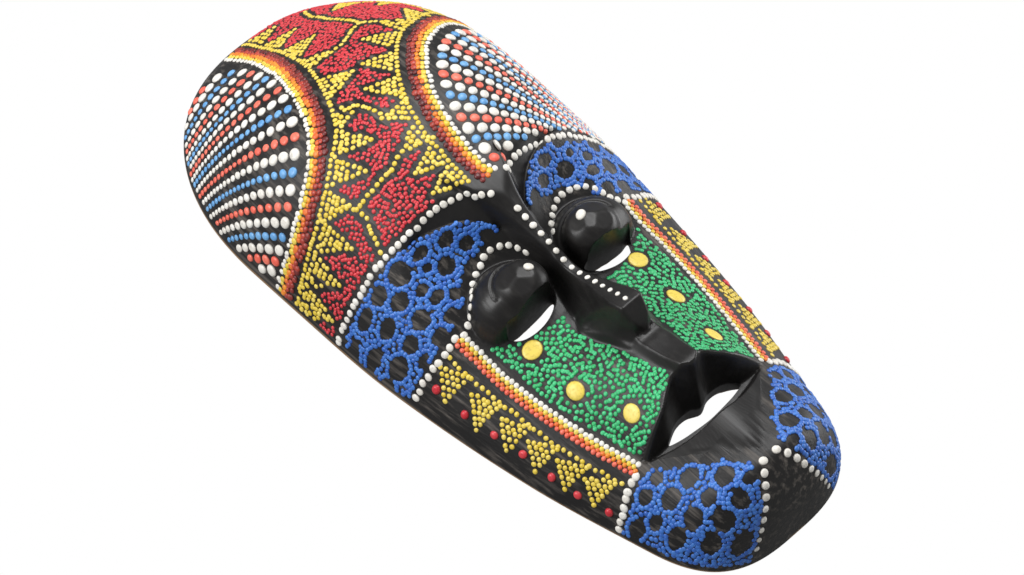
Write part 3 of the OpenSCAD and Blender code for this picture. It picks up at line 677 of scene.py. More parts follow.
def tree_of(points):
    p = on_face(np.asarray(points)[:, 0], np.asarray(points)[:, 1])
    tree = KDTree(len(p))
    for i, q in enumerate(p):
        tree.insert(q, i)
    tree.balance()
    return tree


def scatter(keep, box, spacing, seed, avoid=()):
    """Irregular points at least spacing apart on the surface, where keep says yes and
    clear of each (points, gap) in avoid."""
    rng = np.random.default_rng(seed)
    (x0, x1), (v0, v1) = box
    step = spacing * 0.3
    xs, vs = np.meshgrid(np.arange(x0, x1, step * 0.6), np.arange(v0, v1, step))
    pts = np.stack([xs.ravel(), vs.ravel()], -1)
    pts += rng.uniform(-0.5, 0.5, pts.shape) * step
    pts = pts[keep(pts[:, 0], pts[:, 1]) & (np.abs(pts[:, 0]) < half_width(pts[:, 1]) - STIPPLE_GAP)]
    rng.shuffle(pts)
    where = on_face(pts[:, 0], pts[:, 1])
    trees = [(tree_of(q), gap) for q, gap in avoid if len(q)]
    cells, out = {}, []
    for k, p in enumerate(where):
        if any(tree.find(p)[2] < gap for tree, gap in trees):
            continue
        home = tuple((p // spacing).astype(int))
        near = [q for dx in (-1, 0, 1) for dy in (-1, 0, 1) for dz in (-1, 0, 1)
                for q in cells.get((home[0] + dx, home[1] + dy, home[2] + dz), ())]
        if near and (np.sum((np.array(near) - p) ** 2, axis=1) < spacing**2).any():
            continue
        cells.setdefault(home, []).append(p)
        out.append(pts[k])
    return np.array(out)


WORM_REACH = 2.7                          # dots this many radii apart may run together


def worms(points, radius, share, seed):
    """Dots, with some neighbours run together into short worms."""
    rng = np.random.default_rng(seed)
    p = on_face(points[:, 0], points[:, 1])
    tree = tree_of(points)
    out, used = sized(points, radius), np.zeros(len(points), int)
    for i in range(len(points)):
        for _, j, gap in tree.find_n(p[i], 4):
            if j > i and used[i] < 2 and used[j] < 2 and gap < WORM_REACH * radius + 0.6:
                if rng.uniform() < share:
                    used[i] += 1
                    used[j] += 1
                    a, b = points[i], points[j]
                    out.append((*((a + b) / 2), radius * 0.85))
    return out


def tooth(base, tip, wide, pitch=2.25):
    """Rows of dots that fill a triangle."""
    base, tip = np.array(base, float), np.array(tip, float)
    side = (tip - base)[::-1] * (1, -1)
    side = side / np.linalg.norm(side) * wide / 2
    high = measured(base + (tip - base) * np.linspace(0, 1, 9)[:, None])[-1]
    count = max(2, int(round(high / pitch)))
    out = []
    for i in range(count + 1):
        middle, half = base + (tip - base) * i / count, side * (1 - i / count)
        across = measured(middle + half * np.linspace(-1, 1, 9)[:, None])[-1]
        n = int(round(across / pitch)) + 1
        out += [middle + half * t for t in (np.linspace(-1, 1, n) if n > 1 else [0])]
    return out


def on_side(side, drops):
    """Drops laid out on the left half, turned over for the right."""
    return drops if side == "left" else [(-d[0],) + tuple(d[1:]) for d in drops]


# ---------------------------------------------------------------- materials
class Shader:
    """A new material, with short calls for the nodes that the looks are made of."""

    def __init__(self, slot):
        self.material = bpy.data.materials.new(slot)
        self.material.use_nodes = True
        self.material["slot"] = slot
        self.nodes = self.material.node_tree.nodes
        self.links = self.material.node_tree.links
        self.bsdf = self.nodes["Principled BSDF"]

    def new(self, kind, **values):
        node = self.nodes.new(kind)
        for key, value in values.items():
            if key in node.inputs:
                node.inputs[key].default_value = value
            else:
                setattr(node, key, value)
        return node

    def feed(self, socket, value):
        """Links another node's output to a socket, or sets the socket to a number or colour."""
        if isinstance(value, bpy.types.NodeSocket):
            self.links.new(value, socket)
        else:
            socket.default_value = (*value, 1) if isinstance(value, tuple) else value

    def set(self, name, value):
        self.feed(self.bsdf.inputs[name], value)

    def place(self, scale=(1, 1, 1)):
        shape = self.new("ShaderNodeMapping")
        shape.inputs["Scale"].default_value = scale
        self.links.new(self.new("ShaderNodeTexCoord").outputs["Object"], shape.inputs["Vector"])
        return shape.outputs["Vector"]

    def noise(self, place, scale, detail=3.0, rough=0.5):
        node = self.new("ShaderNodeTexNoise", Scale=scale, Detail=detail, Roughness=rough)
        self.links.new(place, node.inputs["Vector"])
        return node.outputs["Fac"]

    def remap(self, value, a, b, c=0.0, d=1.0):
        node = self.new("ShaderNodeMapRange")
        ends = (("Value", value), ("From Min", a), ("From Max", b), ("To Min", c), ("To Max", d))
        for key, number in ends:
            self.feed(node.inputs[key], number)
        return node.outputs["Result"]

    def math(self, operation, a, b):
        node = self.new("ShaderNodeMath", operation=operation)
        self.feed(node.inputs[0], a)
        self.feed(node.inputs[1], b)
        return node.outputs[0]

    def mix(self, factor, a, b):
        node = self.new("ShaderNodeMix", data_type="RGBA")
        color_a, color_b, result = node.inputs[6], node.inputs[7], node.outputs[2]
        self.links.new(factor, node.inputs["Factor"])
        self.feed(color_a, a)
        self.feed(color_b, b)
        return result

    def attribute(self, name):
        return self.new("ShaderNodeAttribute", attribute_name=name).outputs["Fac"]

    def bump(self, height, strength, distance):
        node = self.new("ShaderNodeBump", Strength=strength, Distance=distance)
        self.links.new(height, node.inputs["Height"])
        self.set("Normal", node.outputs["Normal"])


def paint_material(slot, color, pale, dark):
    """Acrylic paint: each drop has its own tone, thinner and darker at its foot."""
    m = Shader(slot)
    tone, rise, plain = m.attribute("tone"), m.attribute("rise"), m.place()
    patch = m.noise(plain, 900, 2)
    base = m.mix(m.remap(tone, 0, 1), color, pale)
    base = m.mix(m.math("MULTIPLY", m.remap(patch, 0.5, 0.75), 0.35), base, dark)
    base = m.mix(m.remap(rise, 0.0, 0.45, 0.75, 0.0), base, dark)
    m.set("Base Color", base)
    m.set("Roughness", m.remap(patch, 0.3, 0.7, 0.3, 0.5))
    m.set("Specular IOR Level", 0.45)
    m.bump(m.noise(plain, 2600, 2), 0.25, 0.0001)
    return m.material


def wood_material():
    """Black paint over open-grained wood, thin enough for the grain to show in streaks."""
    m = Shader("black_wood")
    bare, carved = m.attribute("bare"), m.attribute("carved")
    along = m.place((1, 1, 0.035))
    streak, fine = m.noise(along, 420, 5, 0.62), m.noise(along, 1500, 3, 0.6)
    cloud = m.noise(m.place(), 45, 3)
    thin = m.math("MULTIPLY", m.remap(streak, 0.5, 0.68), m.remap(cloud, 0.35, 0.65, 0.35, 1))
    thin = m.math("MULTIPLY", thin, m.remap(carved, 0, 1, 1, 0.05))
    black = m.mix(cloud, (0.007, 0.0065, 0.0065), (0.013, 0.012, 0.0115))
    black = m.mix(thin, black, (0.12, 0.105, 0.092))
    wood = m.mix(m.remap(fine, 0.35, 0.7), (0.42, 0.27, 0.15), (0.27, 0.155, 0.08))
    wood = m.mix(m.remap(cloud, 0.4, 0.7, 0, 0.5), wood, (0.5, 0.36, 0.22))
    m.set("Base Color", m.mix(bare, black, wood))
    gloss = m.remap(streak, 0.3, 0.7, 0.38, 0.52)
    gloss = m.math("SUBTRACT", gloss, m.math("MULTIPLY", carved, 0.07))
    gloss = m.math("ADD", gloss, m.math("MULTIPLY", bare, 0.28))
    m.set("Roughness", gloss)
    m.set("Specular IOR Level", 0.3)
    relief = m.math("ADD", streak, m.math("MULTIPLY", fine, 0.6))
    relief = m.math("MULTIPLY", relief, m.remap(carved, 0, 1, 1, 0.25))
    m.bump(relief, 0.5, 0.0004)
    return m.material


def metal_material(slot, color, rough):
    """Plated steel, finely scratched across and dulled in patches."""
    m = Shader(slot)
    scratch, tarnish = m.noise(m.place((0.08, 1, 1)), 3000, 3), m.noise(m.place(), 350, 3)
    dull = tuple(c * 0.55 for c in color)
    m.set("Base Color", m.mix(m.remap(tarnish, 0.45, 0.75), color, dull))
    m.set("Metallic", 1.0)
    m.set("Roughness", m.remap(scratch, 0.3, 0.7, rough - 0.06, rough + 0.1))
    m.bump(scratch, 0.15, 0.00005)
    return m.material


WHITE = paint_material("white_paint", (0.66, 0.63, 0.57), (0.74, 0.72, 0.67), (0.2, 0.18, 0.16))
YELLOW = paint_material("yellow_paint", (0.66, 0.48, 0.035), (0.74, 0.58, 0.11), (0.2, 0.13, 0.015))
ORANGE = paint_material("orange_paint", (0.74, 0.26, 0.02), (0.64, 0.09, 0.025), (0.2, 0.04, 0.01))
RED = paint_material("red_paint", (0.50, 0.018, 0.03), (0.62, 0.05, 0.06), (0.1, 0.006, 0.01))
CORAL = paint_material("coral_paint", (0.72, 0.11, 0.07), (0.78, 0.18, 0.12), (0.3, 0.04, 0.03))
MAROON = paint_material("maroon_paint", (0.09, 0.011, 0.013), (0.42, 0.05, 0.03), (0.02, 0.004, 0.004))
BLUE = paint_material("blue_paint", (0.022, 0.10, 0.42), (0.05, 0.18, 0.55), (0.01, 0.035, 0.16))
SKY = paint_material("sky_paint", (0.10, 0.29, 0.57), (0.16, 0.37, 0.64), (0.03, 0.09, 0.2))
GREEN = paint_material("green_paint", (0.02, 0.36, 0.11), (0.05, 0.48, 0.19), (0.005, 0.09, 0.035))
WOOD = wood_material()
ZINC = metal_material("zinc_steel", (0.62, 0.60, 0.55), 0.34)
WIRE = metal_material("ring_steel", (0.66, 0.65, 0.62), 0.28)

# ---------------------------------------------------------------- the wood and the hanger
finish_piece(build_shell(), WOOD, "wooden_shell")
for node, material in (("hanger_strap", ZINC), ("hanger_screw", ZINC), ("hanger_ring", WIRE)):
    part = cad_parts[node]
    part.data.materials.clear()
    part.data.materials.append(material)

# ---------------------------------------------------------------- fans and their borders
# The middle of each fan's border, with the fan on its outer side
ARCH = {
    "left": [(-8, 296), (-7.5, 283), (-10.5, 269), (-16, 253), (-22, 238.5), (-28, 226.5), (-35, 217.5),
             (-42, 211.5), (-49, 207.5), (-56.5, 204.3), (-63, 202.8), (-68, 202.5)],
    "right": [(0.5, 163), (0, 171), (0.8, 182), (3, 192.5), (6.7, 202.5), (11.7, 211.5), (18, 219.3),
              (25, 225.6), (33, 230), (41.5, 233), (50, 234), (60, 233), (67, 231)]
}
BROW_ROW = {
    "left": [(-68, 173), (-60, 172), (-50, 171), (-42, 169.5), (-34, 168.2), (-24, 167.3), (-15, 165.7),
             (-11, 164), (-8.5, 160.5), (-4, 157)],
    "right": [(8, 161), (14, 163.5), (22, 164.5), (31, 164), (38, 163), (47, 160.5), (57, 158),
              (66, 156)]
}
FAN_FOCUS = {"left": (-79, 276), "right": (54, 150)}
# Where the rays start: along the left border, and round the right one and on down the rim
LEFT_FEET = [(-31, 291.5), (-25, 291), (-20, 288.6), (-17.2, 281), (-18.6, 267), (-22.5, 254),
             (-27.5, 242.5), (-36, 228.5), (-46, 219.5), (-56, 212.8), (-62, 210.3), (-66.5, 210.8)]
CROWDING = 1.12                                           # the left rays crowd towards the temple
FIRST_FOOT, FEET_NEAR, FEET_FAR = (8, 165), 7, 12         # from the right border's middle line
RIM_FEET = [(66.5, 222), (67, 205), (67.3, 188), (67, 170)]
RAYS = {"left": 22, "right": 36}
RAY_COLORS = ("red", "white", "blue", "white")
RAY_SIZE = {"white": 2.4, "red": 2.1, "blue": 1.95}
RAY_STEP = {"white": 2.2, "red": 2.4, "blue": 2.35}       # spacing along a ray, in dot radii
SHRINK, SMALLEST = 0.93, 1.12                             # of each dot from the one before it
# The border's rows of overlapping scales: distance from the middle line, radius and tone
SCALES = (
    ("white", WHITE, -3.4, 1.2, 0.5),
    ("yellow", YELLOW, -1.8, 1.25, 0.3),
    ("orange", ORANGE, -0.1, 1.3, 0.2),
    ("maroon", MAROON, 1.6, 1.3, 0.9),
    ("maroon", MAROON, 3.2, 1.3, 0.1)
)
SCALE_PITCH = 2.45


def even(q, count, phase=0.0):
    """Points evenly spaced on the surface along a dense line."""
    s = measured(q)
    return pick(q, s, s[-1] * (np.arange(count) + phase) / count)


def fan_feet(side):
    if side == "left":
        line = rounded(LEFT_FEET)
        s = measured(line)
        share = (np.arange(RAYS[side]) + 0.5) / RAYS[side]
        return pick(line, s, s[-1] * (1 - (1 - share) ** CROWDING))
    near, far = (dense(ARCH[side], -gap) for gap in (FEET_NEAR, FEET_FAR))
    t = np.linspace(0, 1, len(near))[:, None]
    return even(np.vstack([FIRST_FOOT, (near * (1 - t) + far * t)[4:], RIM_FEET]), RAYS[side], 0.4)


def above_brow(q):
    """The part of a line above the right brow's row."""
    row = dense(BROW_ROW["right"])
    return q[q[:, 1] > np.interp(q[:, 0], row[:, 0], row[:, 1]) + 2.6]


def fan(side):
    """Rays of dots that run from their feet towards one point and grow smaller on the way."""
    focus = np.array(FAN_FOCUS[side])
    out = {"white": [], "red": [], "blue": []}
    for k, foot in enumerate(fan_feet(side)):
        q = foot + (focus - foot) * np.linspace(0, 0.98, 80)[:, None]
        q = q[np.abs(q[:, 0]) < half_width(q[:, 1]) - 0.4]
        if side == "right":
            q = above_brow(q)
        if len(q) < 2:
            continue
        s = measured(q)
        color = RAY_COLORS[k % 4]
        at, r = 0.0, RAY_SIZE[color]
        while at < s[-1] - 0.3:
            out[color].append((*pick(q, s, at), r))
            at += RAY_STEP[color] * r
            r = max(SMALLEST, r * SHRINK)
    return out


def border(side):
    """The scales of one fan's border by colour, and the points of every row."""
    rng = np.random.default_rng(30)
    drops, rows = {}, []
    for i, (color, _, place, r, shade) in enumerate(SCALES):
        line = dense(ARCH[side], place)
        count = int(measured(line)[-1] / SCALE_PITCH)
        points = jitter(even(line, count, 0.5 * (i % 2)), rng, 0.22)
        tones = np.clip(shade + 0.3 * rng.normal(0, 1, len(points)), 0, 1)
        sizes = r * rng.uniform(0.82, 1.12, len(points))
        drops.setdefault(color, []).extend((*q, size, t) for q, size, t in zip(points, sizes, tones))
        rows.append(points)
    return drops, rows


for side in SIDES:
    drops = fan(side)
    for i, (color, material) in enumerate((("white", WHITE), ("red", CORAL), ("blue", SKY))):
        paint(f"fan_{color}_{side}", drops[color], material, 10 + i)
arch_points = []
for side in SIDES:
    drops, rows = border(side)
    arch_points += rows
    for i, (color, material, *_) in enumerate(SCALES[:4]):
        paint(f"arch_{color}_{side}", drops[color], material, 40 + i, lift=0.06 * i)

# ---------------------------------------------------------------- forehead band
LEFT_ROW = [(-1.5, 297), (-1.5, 285), (-3, 274), (-5, 265), (-8.5, 252), (-12.5, 242), (-17, 232),
            (-22, 222), (-28, 214.5), (-36, 209), (-46, 202.5), (-56, 198.5), (-67, 195.5)]
RIGHT_ROW = [(-7, 165.5), (-6.5, 172), (-6, 180), (-5, 190), (-3, 199), (1, 208.5), (7, 218),
             (14.5, 226.5), (20, 231.5), (26, 235), (33, 237.5), (41, 240.5), (50, 243), (60, 243.5),
             (67, 242)]
DIVIDERS = [
    [(-8, 252), (-3, 249.5), (2, 248.5), (9, 249.5), (16, 253), (21, 254.5), (21.5, 262), (21, 269),
     (21.5, 276), (22, 283), (25, 290)],
    [(21, 254.5), (24, 250), (26, 246), (28, 240)],
    [(49, 244), (50, 253), (47, 261), (46, 268), (40, 275), (37, 283)],
    [(47, 261), (53, 260), (58, 263)],
    [(-21, 221), (-16, 219.5), (-13, 216.5), (-12, 213), (-10, 206.5), (-6, 206), (-2, 206.5)],
    [(-45, 196), (-42, 193), (-41, 189.5), (-32, 189.3), (-24, 189.3), (-18, 191), (-14, 191.5)],
    [(-41, 189.5), (-41, 185), (-43, 180), (-44.8, 173)]
]
# Teeth of yellow dots: the middle of the base, the tip and the base's width
TEETH = [
    ((-1, 292), (11, 292), 9), ((-2, 281), (11.5, 281), 9), ((-4, 266.5), (8.5, 266.5), 11),
    ((-9, 253), (1, 250), 9), ((-15, 235), (-3, 232), 11), ((-23, 220.5), (-13, 218), 9),
    ((-30, 213), (-21, 203), 10), ((-38.5, 207), (-30.5, 196), 9), ((-47.5, 201.5), (-41.5, 192), 9),
    ((-54, 198.5), (-50, 183), 8), ((-61, 197), (-58.5, 181), 7), ((-66, 195), (-65, 178), 5),
    ((20.5, 232), (13, 243.5), 10), ((11, 223), (2.5, 232), 10), ((3, 212.5), (-6.5, 221), 10),
    ((-2, 202.5), (-12, 206.5), 9), ((-4.5, 192), (-18.5, 191), 9), ((-6, 181.5), (-19, 181.5), 9),
    ((-6.5, 171), (-19, 172), 9), ((30, 236.5), (25.5, 247.5), 9), ((39, 240), (41, 250), 9),
    ((56, 244), (57, 254), 8), ((63, 243.5), (62, 252), 6), ((38, 279), (29, 277), 8),
    ((48, 264), (39, 262), 8)
]


def in_band(x, v):
    """Between the two yellow rows and above the brow."""
    brow = dense(BROW_ROW["left"])[:-14] + (0, 2.4)
    outline = np.vstack([dense(LEFT_ROW), brow, [(-8, 166)], dense(RIGHT_ROW),
                         [(70, 250), (50, 299), (0, 299)]])
    return inside(x, v, outline) & (v < 298)


def yellow_points():
    """The dots of the rows, and the teeth's dots that stand clear of them."""
    rows = [row_along(LEFT_ROW, 2.35), row_along(RIGHT_ROW, 2.35)]
    rows += [row_along(d, 2.6) for d in DIVIDERS]
    rows = jitter(np.vstack(rows), np.random.default_rng(50), 0.18)
    teeth = jitter(np.vstack([tooth(*t) for t in TEETH]), np.random.default_rng(51), 0.2)
    near_rows = tree_of(rows)
    clear = [near_rows.find(p)[2] > 1.4 for p in on_face(*teeth.T)]
    return rows, teeth[clear]


yellow_rows, yellow_teeth = yellow_points()
paint("forehead_rows", worms(yellow_rows, 1.05, 0.1, 52), YELLOW, 53)
paint("forehead_teeth", worms(yellow_teeth, 1.05, 0.08, 54), YELLOW, 55)
brow_points = {side: row_along(BROW_ROW[side], 3.2) for side in SIDES}
red = scatter(in_band, ((-68, 68), (168, 298)), 1.5, 56,
              avoid=[(yellow_rows, 3.0), (yellow_teeth, 2.9), (np.vstack(list(brow_points.values())), 3.2)]
              + [(p, 3.0) for p in arch_points])
paint("forehead_stipple", worms(red, 0.86, 0.2, 57), RED, 58)

# ---------------------------------------------------------------- white rows
NOSE_ROW = [(0, 147), (0, 130), (0, 112), (-0.5, 91)]
TEMPLE_ROW = [(-45, 133.5), (-51, 133), (-58, 134), (-65, 135)]
JAW_ROW = [(-35, 49), (-40, 48.3), (-44, 46), (-47.5, 44.5)]
CHIN_ROW = [(-3.4, 17), (-7, 12.5), (-11, 7.5), (-15, 4.6), (-19, 2.8)]
EYE_RING = {
    "left": [(-5, 137), (-6.4, 141.3), (-8.7, 143.8), (-11.5, 145.5), (-15, 146.7), (-18.5, 146.2),
             (-22, 145), (-26, 143.2), (-29.5, 140.5), (-33, 137.3), (-37, 134.3), (-41.5, 131.8)],
    "right": [(9.5, 137.5), (12, 140.6), (15, 143.2), (19, 145.5), (23, 146.6), (27, 146.5), (31, 145),
              (34.5, 142.6), (37.3, 138.8), (40, 134.5), (42.5, 131.8)]
}
PUPIL = {"left": (-13.8, 127.2), "right": (16, 130.1)}


def shrinking(points, radius, less):
    return [(x, v, radius - less * i) for i, (x, v) in enumerate(points)]


def white_rows(side):
    rng = np.random.default_rng(60)

    def row(points, uneven, radius):
        return sized(jitter(points, rng, uneven), radius)

    rows = (
        ("brow_row", row(brow_points[side], 0.2, 1.45)),
        ("eye_ring", row(row_along(EYE_RING[side], 3.5), 0.15, 1.45)),
        ("temple_row", on_side(side, row(row_along(TEMPLE_ROW, 3.7), 0.2, 1.6))),
        ("jaw_row", on_side(side, row(row_along(JAW_ROW, 3.6), 0.2, 1.65))),
        ("chin_row", on_side(side, shrinking(row_along(CHIN_ROW, 4.6), 1.85, 0.09))),
        ("pupil", [(*PUPIL[side], 2)])
    )
    for i, (name, drops) in enumerate(rows):
        paint(f"{name}_{side}", drops, WHITE, 61 + i)


for side in SIDES:
    white_rows(side)
paint("nose_row", shrinking(row_along(NOSE_ROW, 4.3), 1.45, 0.03), WHITE, 67)

# ---------------------------------------------------------------- cheeks
CHEEK = [(-38, 121), (-37.5, 105), (-37, 92), (-35.5, 78), (-33, 68), (-31, 58), (-30, 52.5),
         (-23.5, 54), (-17, 56.4), (-11, 59.5), (-7.2, 61.5), (-7.6, 66), (-9, 75.5), (-9.8, 82),
         (-10.8, 88), (-12.7, 95), (-13.6, 102), (-13, 107), (-12, 111), (-20, 111), (-27, 113),
         (-33, 117)]
SPOTS = {"left": [(-28.7, 109.5), (-29, 86.7), (-23.2, 64)], "right": [(27, 110), (25.6, 89), (22, 66.4)]}
CHEEK_EDGE = [(-42, 132), (-41.5, 122), (-41.5, 112), (-40.5, 100), (-39, 88), (-37.5, 78), (-35.5, 67),
              (-33.5, 58), (-32, 51)]
# Bands along the cheek's outer edge: how far out from it, and the dots' radius
CHEEK_BANDS = (("white", WHITE, 0, 1.15), ("yellow", YELLOW, 1.45, 1.1), ("orange", ORANGE, 2.7, 1.05),
               ("red", CORAL, 4.0, 1.05))


def cheek(side, sign):
    spots = np.array(SPOTS[side])
    outline = np.array(CHEEK) * (-sign, 1)
    low, high = outline.min(0), outline.max(0)
    green = scatter(lambda x, v: inside(x, v, outline), ((low[0], high[0]), (low[1], high[1])), 1.72,
                    70 + sign, avoid=[(spots, 5.2)])
    paint(f"cheek_green_{side}", worms(green, 0.95, 0.2, 71), GREEN, 72)
    paint(f"cheek_spots_{side}", sized(spots, 3.95), YELLOW, 73, lift=-0.8)
    for i, (color, material, place, r) in enumerate(CHEEK_BANDS):
        points = row_along(CHEEK_EDGE, 2.3, -place, phase=0.5 * (i % 2))
        points = jitter(points, np.random.default_rng(75 + i), 0.1)
        paint(f"cheek_{color}_{side}", on_side(side, sized(points, r)), material, 76 + i, lift=0.1 * i)


for side, sign in SIDES.items():
    cheek(side, sign)

# ---------------------------------------------------------------- side bands
SIDE_ROW = [(-50, 131), (-49.5, 120), (-48.5, 110), (-47.5, 100), (-46.5, 90), (-45.5, 80), (-43.5, 70),
            (-42, 62), (-39.5, 52)]
SIDE_TIPS = [(-59, 124), (-58, 108.5), (-56, 94.5), (-54, 81.5), (-51.5, 68.5), (-48.5, 56.5)]
SIDE_TOOTH_WIDE = 11.5
BEADS = [(-58.5, 129), (-57.5, 115), (-55.5, 101.5), (-53.5, 88.5), (-52, 75), (-50, 63.5),
         (-46.8, 50.5)]


def side_dots():
    """The left side's row of yellow dots with a tooth at each tip."""
    row_x = np.array(SIDE_ROW)[::-1]
    dots = [row_along(SIDE_ROW, 2.75)]
    for x, v in SIDE_TIPS:
        root = v + 2.5
        base = np.interp(root, row_x[:, 1], row_x[:, 0]) - 2, root
        dots.append(tooth(base, (x, v), SIDE_TOOTH_WIDE))
    return sized(jitter(np.vstack(dots), np.random.default_rng(80), 0.14), 1.05)


side_drops = side_dots()
for side in SIDES:
    paint(f"side_teeth_{side}", on_side(side, side_drops), YELLOW, 81)
    paint(f"side_beads_{side}", on_side(side, sized(BEADS, 1.8)), RED, 82, lift=0.35)

# ---------------------------------------------------------------- nets of round cells
# Each cell is (x, v, half its width, half its height) of bare wood, as seen from in front
BROW_CELLS = [
    (-66.5, 165, 1.6, 2.5), (-60, 165.5, 2.6, 2.7), (-53.5, 164.8, 2.6, 3), (-45, 162.5, 3.4, 3.8),
    (-36, 161.3, 3.6, 2), (-37, 156.5, 2.2, 1.6), (-25.5, 158.5, 3.4, 1.9), (-64.5, 156, 2, 3.2),
    (-57.5, 156, 2.8, 3.1), (-50.3, 157, 3, 3.2), (-43, 152.8, 2.4, 1.9), (-30.8, 152.5, 3.6, 2.6),
    (-20, 153.3, 2.8, 2), (-40.5, 147.5, 3.6, 2.6), (-49, 147, 2.7, 2.9), (-55.8, 145.5, 2.6, 3.2),
    (-62, 145.5, 2.3, 3.2), (-35, 143.8, 2.2, 2.1), (-40.8, 139.5, 2.5, 1.9), (-48, 138.3, 2.6, 2),
    (-12.5, 150.3, 2, 1.6), (-66.5, 147, 1.2, 2.6), (-56, 138.5, 2.2, 1.5)
]
JAW_CELLS = [
    (-37.3, 41.8, 2.7, 2.8), (-31.3, 42.6, 2.2, 2.5), (-44, 38.5, 2, 3), (-39.8, 33.8, 2.6, 3.5),
    (-32.6, 33.6, 3, 3.2), (-24.5, 32.8, 3.1, 2.7), (-38.3, 24.5, 2.4, 3.2), (-32.3, 22.8, 3, 3.5),
    (-25, 22.5, 3.2, 3.2), (-16.8, 23.3, 3.4, 3.3), (-11, 16, 2.8, 1.9), (-18.2, 13.3, 3, 3),
    (-25.8, 13.5, 3, 3), (-32, 13.5, 2, 2.5), (-23.5, 6.3, 2.8, 1.9), (-44.5, 29, 1.3, 2.5)
]
BROW_NET = [(-68, 170), (-55, 168.8), (-45, 167.8), (-38, 166), (-31, 164), (-22, 161), (-15, 157),
            (-10, 152.8), (-8, 149), (-12, 148.3), (-16, 149.5), (-24, 149.5), (-30, 146.5),
            (-34, 140.5), (-39, 136.8), (-48, 135.8), (-68, 137.5)]
JAW_NET = [(-50, 42), (-42, 43.8), (-37, 46.3), (-30, 46), (-27.3, 41), (-24, 37.3), (-19.5, 35.5),
           (-18.3, 30), (-12, 27.8), (-10.3, 21.5), (-7, 19.3), (-8.5, 14), (-13, 8), (-19, 3.6),
           (-27, 2), (-45, 12)]
NET_WALL = 1.9           # the least width of paint between two cells
NET_GROW = 1.3           # the cells' size on the surface, against the lists above
NET_BOX = ((-69, 0), (0, 172))
RING_OUT, RING_PITCH = 0.9, 1.6          # the ring of dots round a cell: out from it and along it
FILL_APART, FILL_CLEAR = 1.5, 1.45       # the dots between the rings: apart, and from the rings
BARE_OUT = 0.4                           # how far round a cell no dot may stand
ROW_BELOW, ROW_CLEAR = 1.8, 2.4          # from the brow's row to the net's dots


def cell_halves(cells, c, across, up):
    """Half sizes of the cells on the surface, less where two would run together."""
    foreshort = np.stack([across[:, 0], up[:, 2]], -1)
    half = NET_GROW * cells[:, 2:] / np.abs(foreshort)
    for i in range(len(cells)):
        for j in range(i):
            gap = np.linalg.norm(c[i] - c[j])
            reach = half[i].mean() + half[j].mean()
            if gap - reach < NET_WALL:
                half[[i, j]] *= max(0.8, (gap - NET_WALL) / reach)
    return half


def net(cells, outline, seed):
    """A ring of dots round each cell, and dots in what is left between the rings."""
    rng = np.random.default_rng(seed)
    cells = np.array(cells, float)
    c, _, across, up = face_frame(cells[:, 0], cells[:, 1])
    half = cell_halves(cells, c, across, up)
    points = []
    for k, (x, v, _, _) in enumerate(cells):
        ring = half[k] + RING_OUT
        count = int(round(math.pi * ring.sum() / RING_PITCH))
        for i in range(count):
            a = 2 * math.pi * (i + rng.uniform(-0.2, 0.2)) / count
            wide = ring * rng.uniform(0.93, 1.07)
            step = wide[0] * math.cos(a) * across[k] + wide[1] * math.sin(a) * up[k]
            points.append((x + step[0], v + step[2]))
    points = np.array(points)
    points = points[inside(points[:, 0], points[:, 1], outline)]
    rest = scatter(lambda x, v: inside(x, v, outline), NET_BOX, FILL_APART, seed + 1,
                   avoid=[(points, FILL_CLEAR)])
    points = np.vstack([points, rest])
    p = on_face(points[:, 0], points[:, 1])
    clear = np.ones(len(points), bool)
    for k, (wide, high) in enumerate(half + BARE_OUT):
        d = p - c[k]
        clear &= np.hypot(d @ across[k] / wide, d @ up[k] / high) > 1
    return points[clear]


def below_brow(drops, side):
    """The drops that stand clear below the brow's white row."""
    tree = tree_of(brow_points[side])
    xs, vs = np.array(drops)[:, 0], np.array(drops)[:, 1]
    row = dense(BROW_ROW[side])
    order = np.argsort(row[:, 0])
    limit = np.interp(xs, row[order, 0], row[order, 1]) - ROW_BELOW
    return [d for d, p, top in zip(drops, on_face(xs, vs), limit)
            if d[1] < top and tree.find(p)[2] > ROW_CLEAR]


brow_net = net(BROW_CELLS, BROW_NET, 90)
jaw_net = net(JAW_CELLS, JAW_NET, 94)
for side in SIDES:
    brow_drops = on_side(side, worms(brow_net, 1.05, 0.3, 91))
    paint(f"brow_net_{side}", below_brow(brow_drops, side), BLUE, 92)
    paint(f"jaw_net_{side}", on_side(side, worms(jaw_net, 1.08, 0.3, 95)), BLUE, 96)

# ---------------------------------------------------------------- stage, lights and camera
CENTRE_POINT = Vector((0, 0, CHIN_Z + MASK_LEN * MM / 2))
CAMERA_TURN, CAMERA_RISE, CAMERA_ROLL = -24.2, -21.6, -48.7        # degrees
CAMERA_AWAY, CAMERA_LENS = 1.606, 150
CAMERA_SHIFT = 0.0036, -0.0077
LIGHT_AWAY = 1.3
FLOOR_Z, FLOOR_HALF = -1.5, 6
camera_axes = (Matrix.Rotation(math.radians(CAMERA_TURN), 3, "Z")
               @ Matrix.Rotation(math.radians(90 - CAMERA_RISE), 3, "X")
               @ Matrix.Rotation(math.radians(CAMERA_ROLL), 3, "Z"))
CAMERA_RIGHT, CAMERA_UP, CAMERA_BACK = camera_axes.transposed()


def add_camera():
    data = bpy.data.cameras.new("camera")
    data.lens = CAMERA_LENS
    data.sensor_width = 36
    data.shift_x, data.shift_y = CAMERA_SHIFT
    data.clip_end = 50
    camera = linked("camera", data)
    place = CENTRE_POINT + CAMERA_AWAY * CAMERA_BACK
    camera.matrix_world = Matrix.Translation(place) @ camera_axes.to_4x4()
    bpy.context.scene.camera = camera


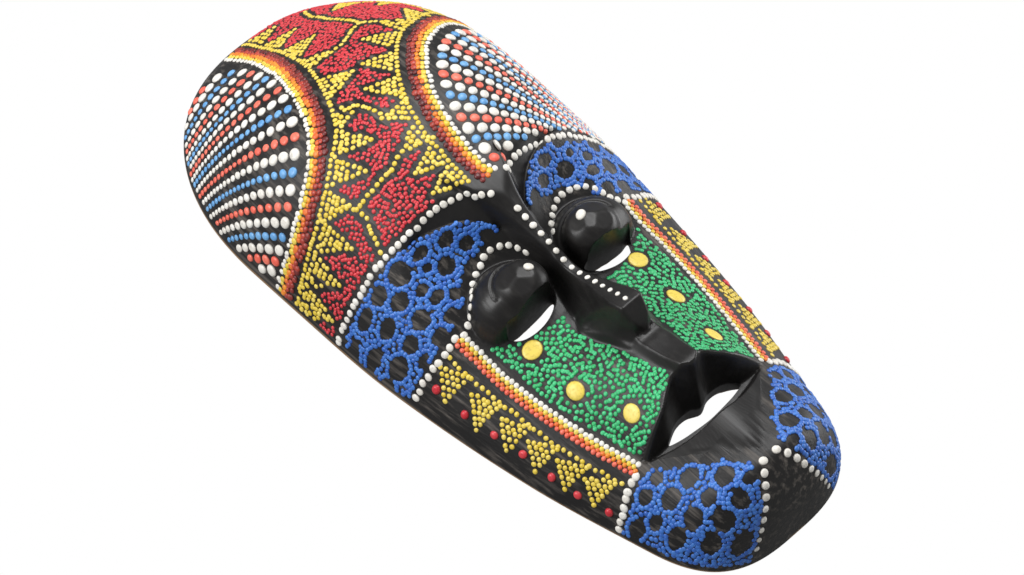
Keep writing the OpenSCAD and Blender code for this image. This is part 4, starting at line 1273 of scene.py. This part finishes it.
def area_light(name, direction, size, power):
    """A soft box that faces the mask, placed by its direction in the camera's own axes."""
    right, up, back = direction
    d = (CAMERA_RIGHT * right + CAMERA_UP * up + CAMERA_BACK * back).normalized()
    data = bpy.data.lights.new(name, "AREA")
    data.shape = "RECTANGLE"
    data.size, data.size_y = size
    data.energy = power
    light = linked(name, data)
    light.location = CENTRE_POINT + d * LIGHT_AWAY
    light.rotation_euler = (-d).to_track_quat("-Z", "Y").to_euler()
    light.visible_camera = False


def studio_world():
    """White where the camera sees it, and a dimmer, cooler light on the mask."""
    world = bpy.data.worlds.new("studio")
    bpy.context.scene.world = world
    world.use_nodes = True
    nodes, links = world.node_tree.nodes, world.node_tree.links
    nodes.clear()
    mixed = nodes.new("ShaderNodeMixShader")
    links.new(nodes.new("ShaderNodeLightPath").outputs["Is Camera Ray"], mixed.inputs[0])
    for i, (color, strength) in enumerate((((0.97, 0.98, 1, 1), 0.34), ((1, 1, 1, 1), 1.0))):
        background = nodes.new("ShaderNodeBackground")
        background.inputs["Color"].default_value = color
        background.inputs["Strength"].default_value = strength
        links.new(background.outputs[0], mixed.inputs[1 + i])
    links.new(mixed.outputs[0], nodes.new("ShaderNodeOutputWorld").inputs["Surface"])
    bpy.context.scene.view_settings.view_transform = "Standard"


def add_floor():
    mesh = bpy.data.meshes.new("floor")
    corners = [(FLOOR_HALF * x, FLOOR_HALF * y, FLOOR_Z) for x, y in ((-1, -1), (1, -1), (1, 1), (-1, 1))]
    mesh.from_pydata(corners, [], [(0, 1, 2, 3)])
    pale = Shader("pale_floor")
    pale.set("Base Color", (0.62, 0.62, 0.61))
    pale.set("Roughness", 0.7)
    mesh.materials.append(pale.material)
    return linked("floor", mesh)


add_camera()
area_light("key_top", (0.1, 0.9, 0.5), (0.9, 0.7), 17)
area_light("fill_left", (-0.8, 0.15, 0.6), (0.7, 0.7), 15)
area_light("rim_right", (0.9, 0.45, -0.35), (0.7, 0.9), 9)
studio_world()
floor = add_floor()
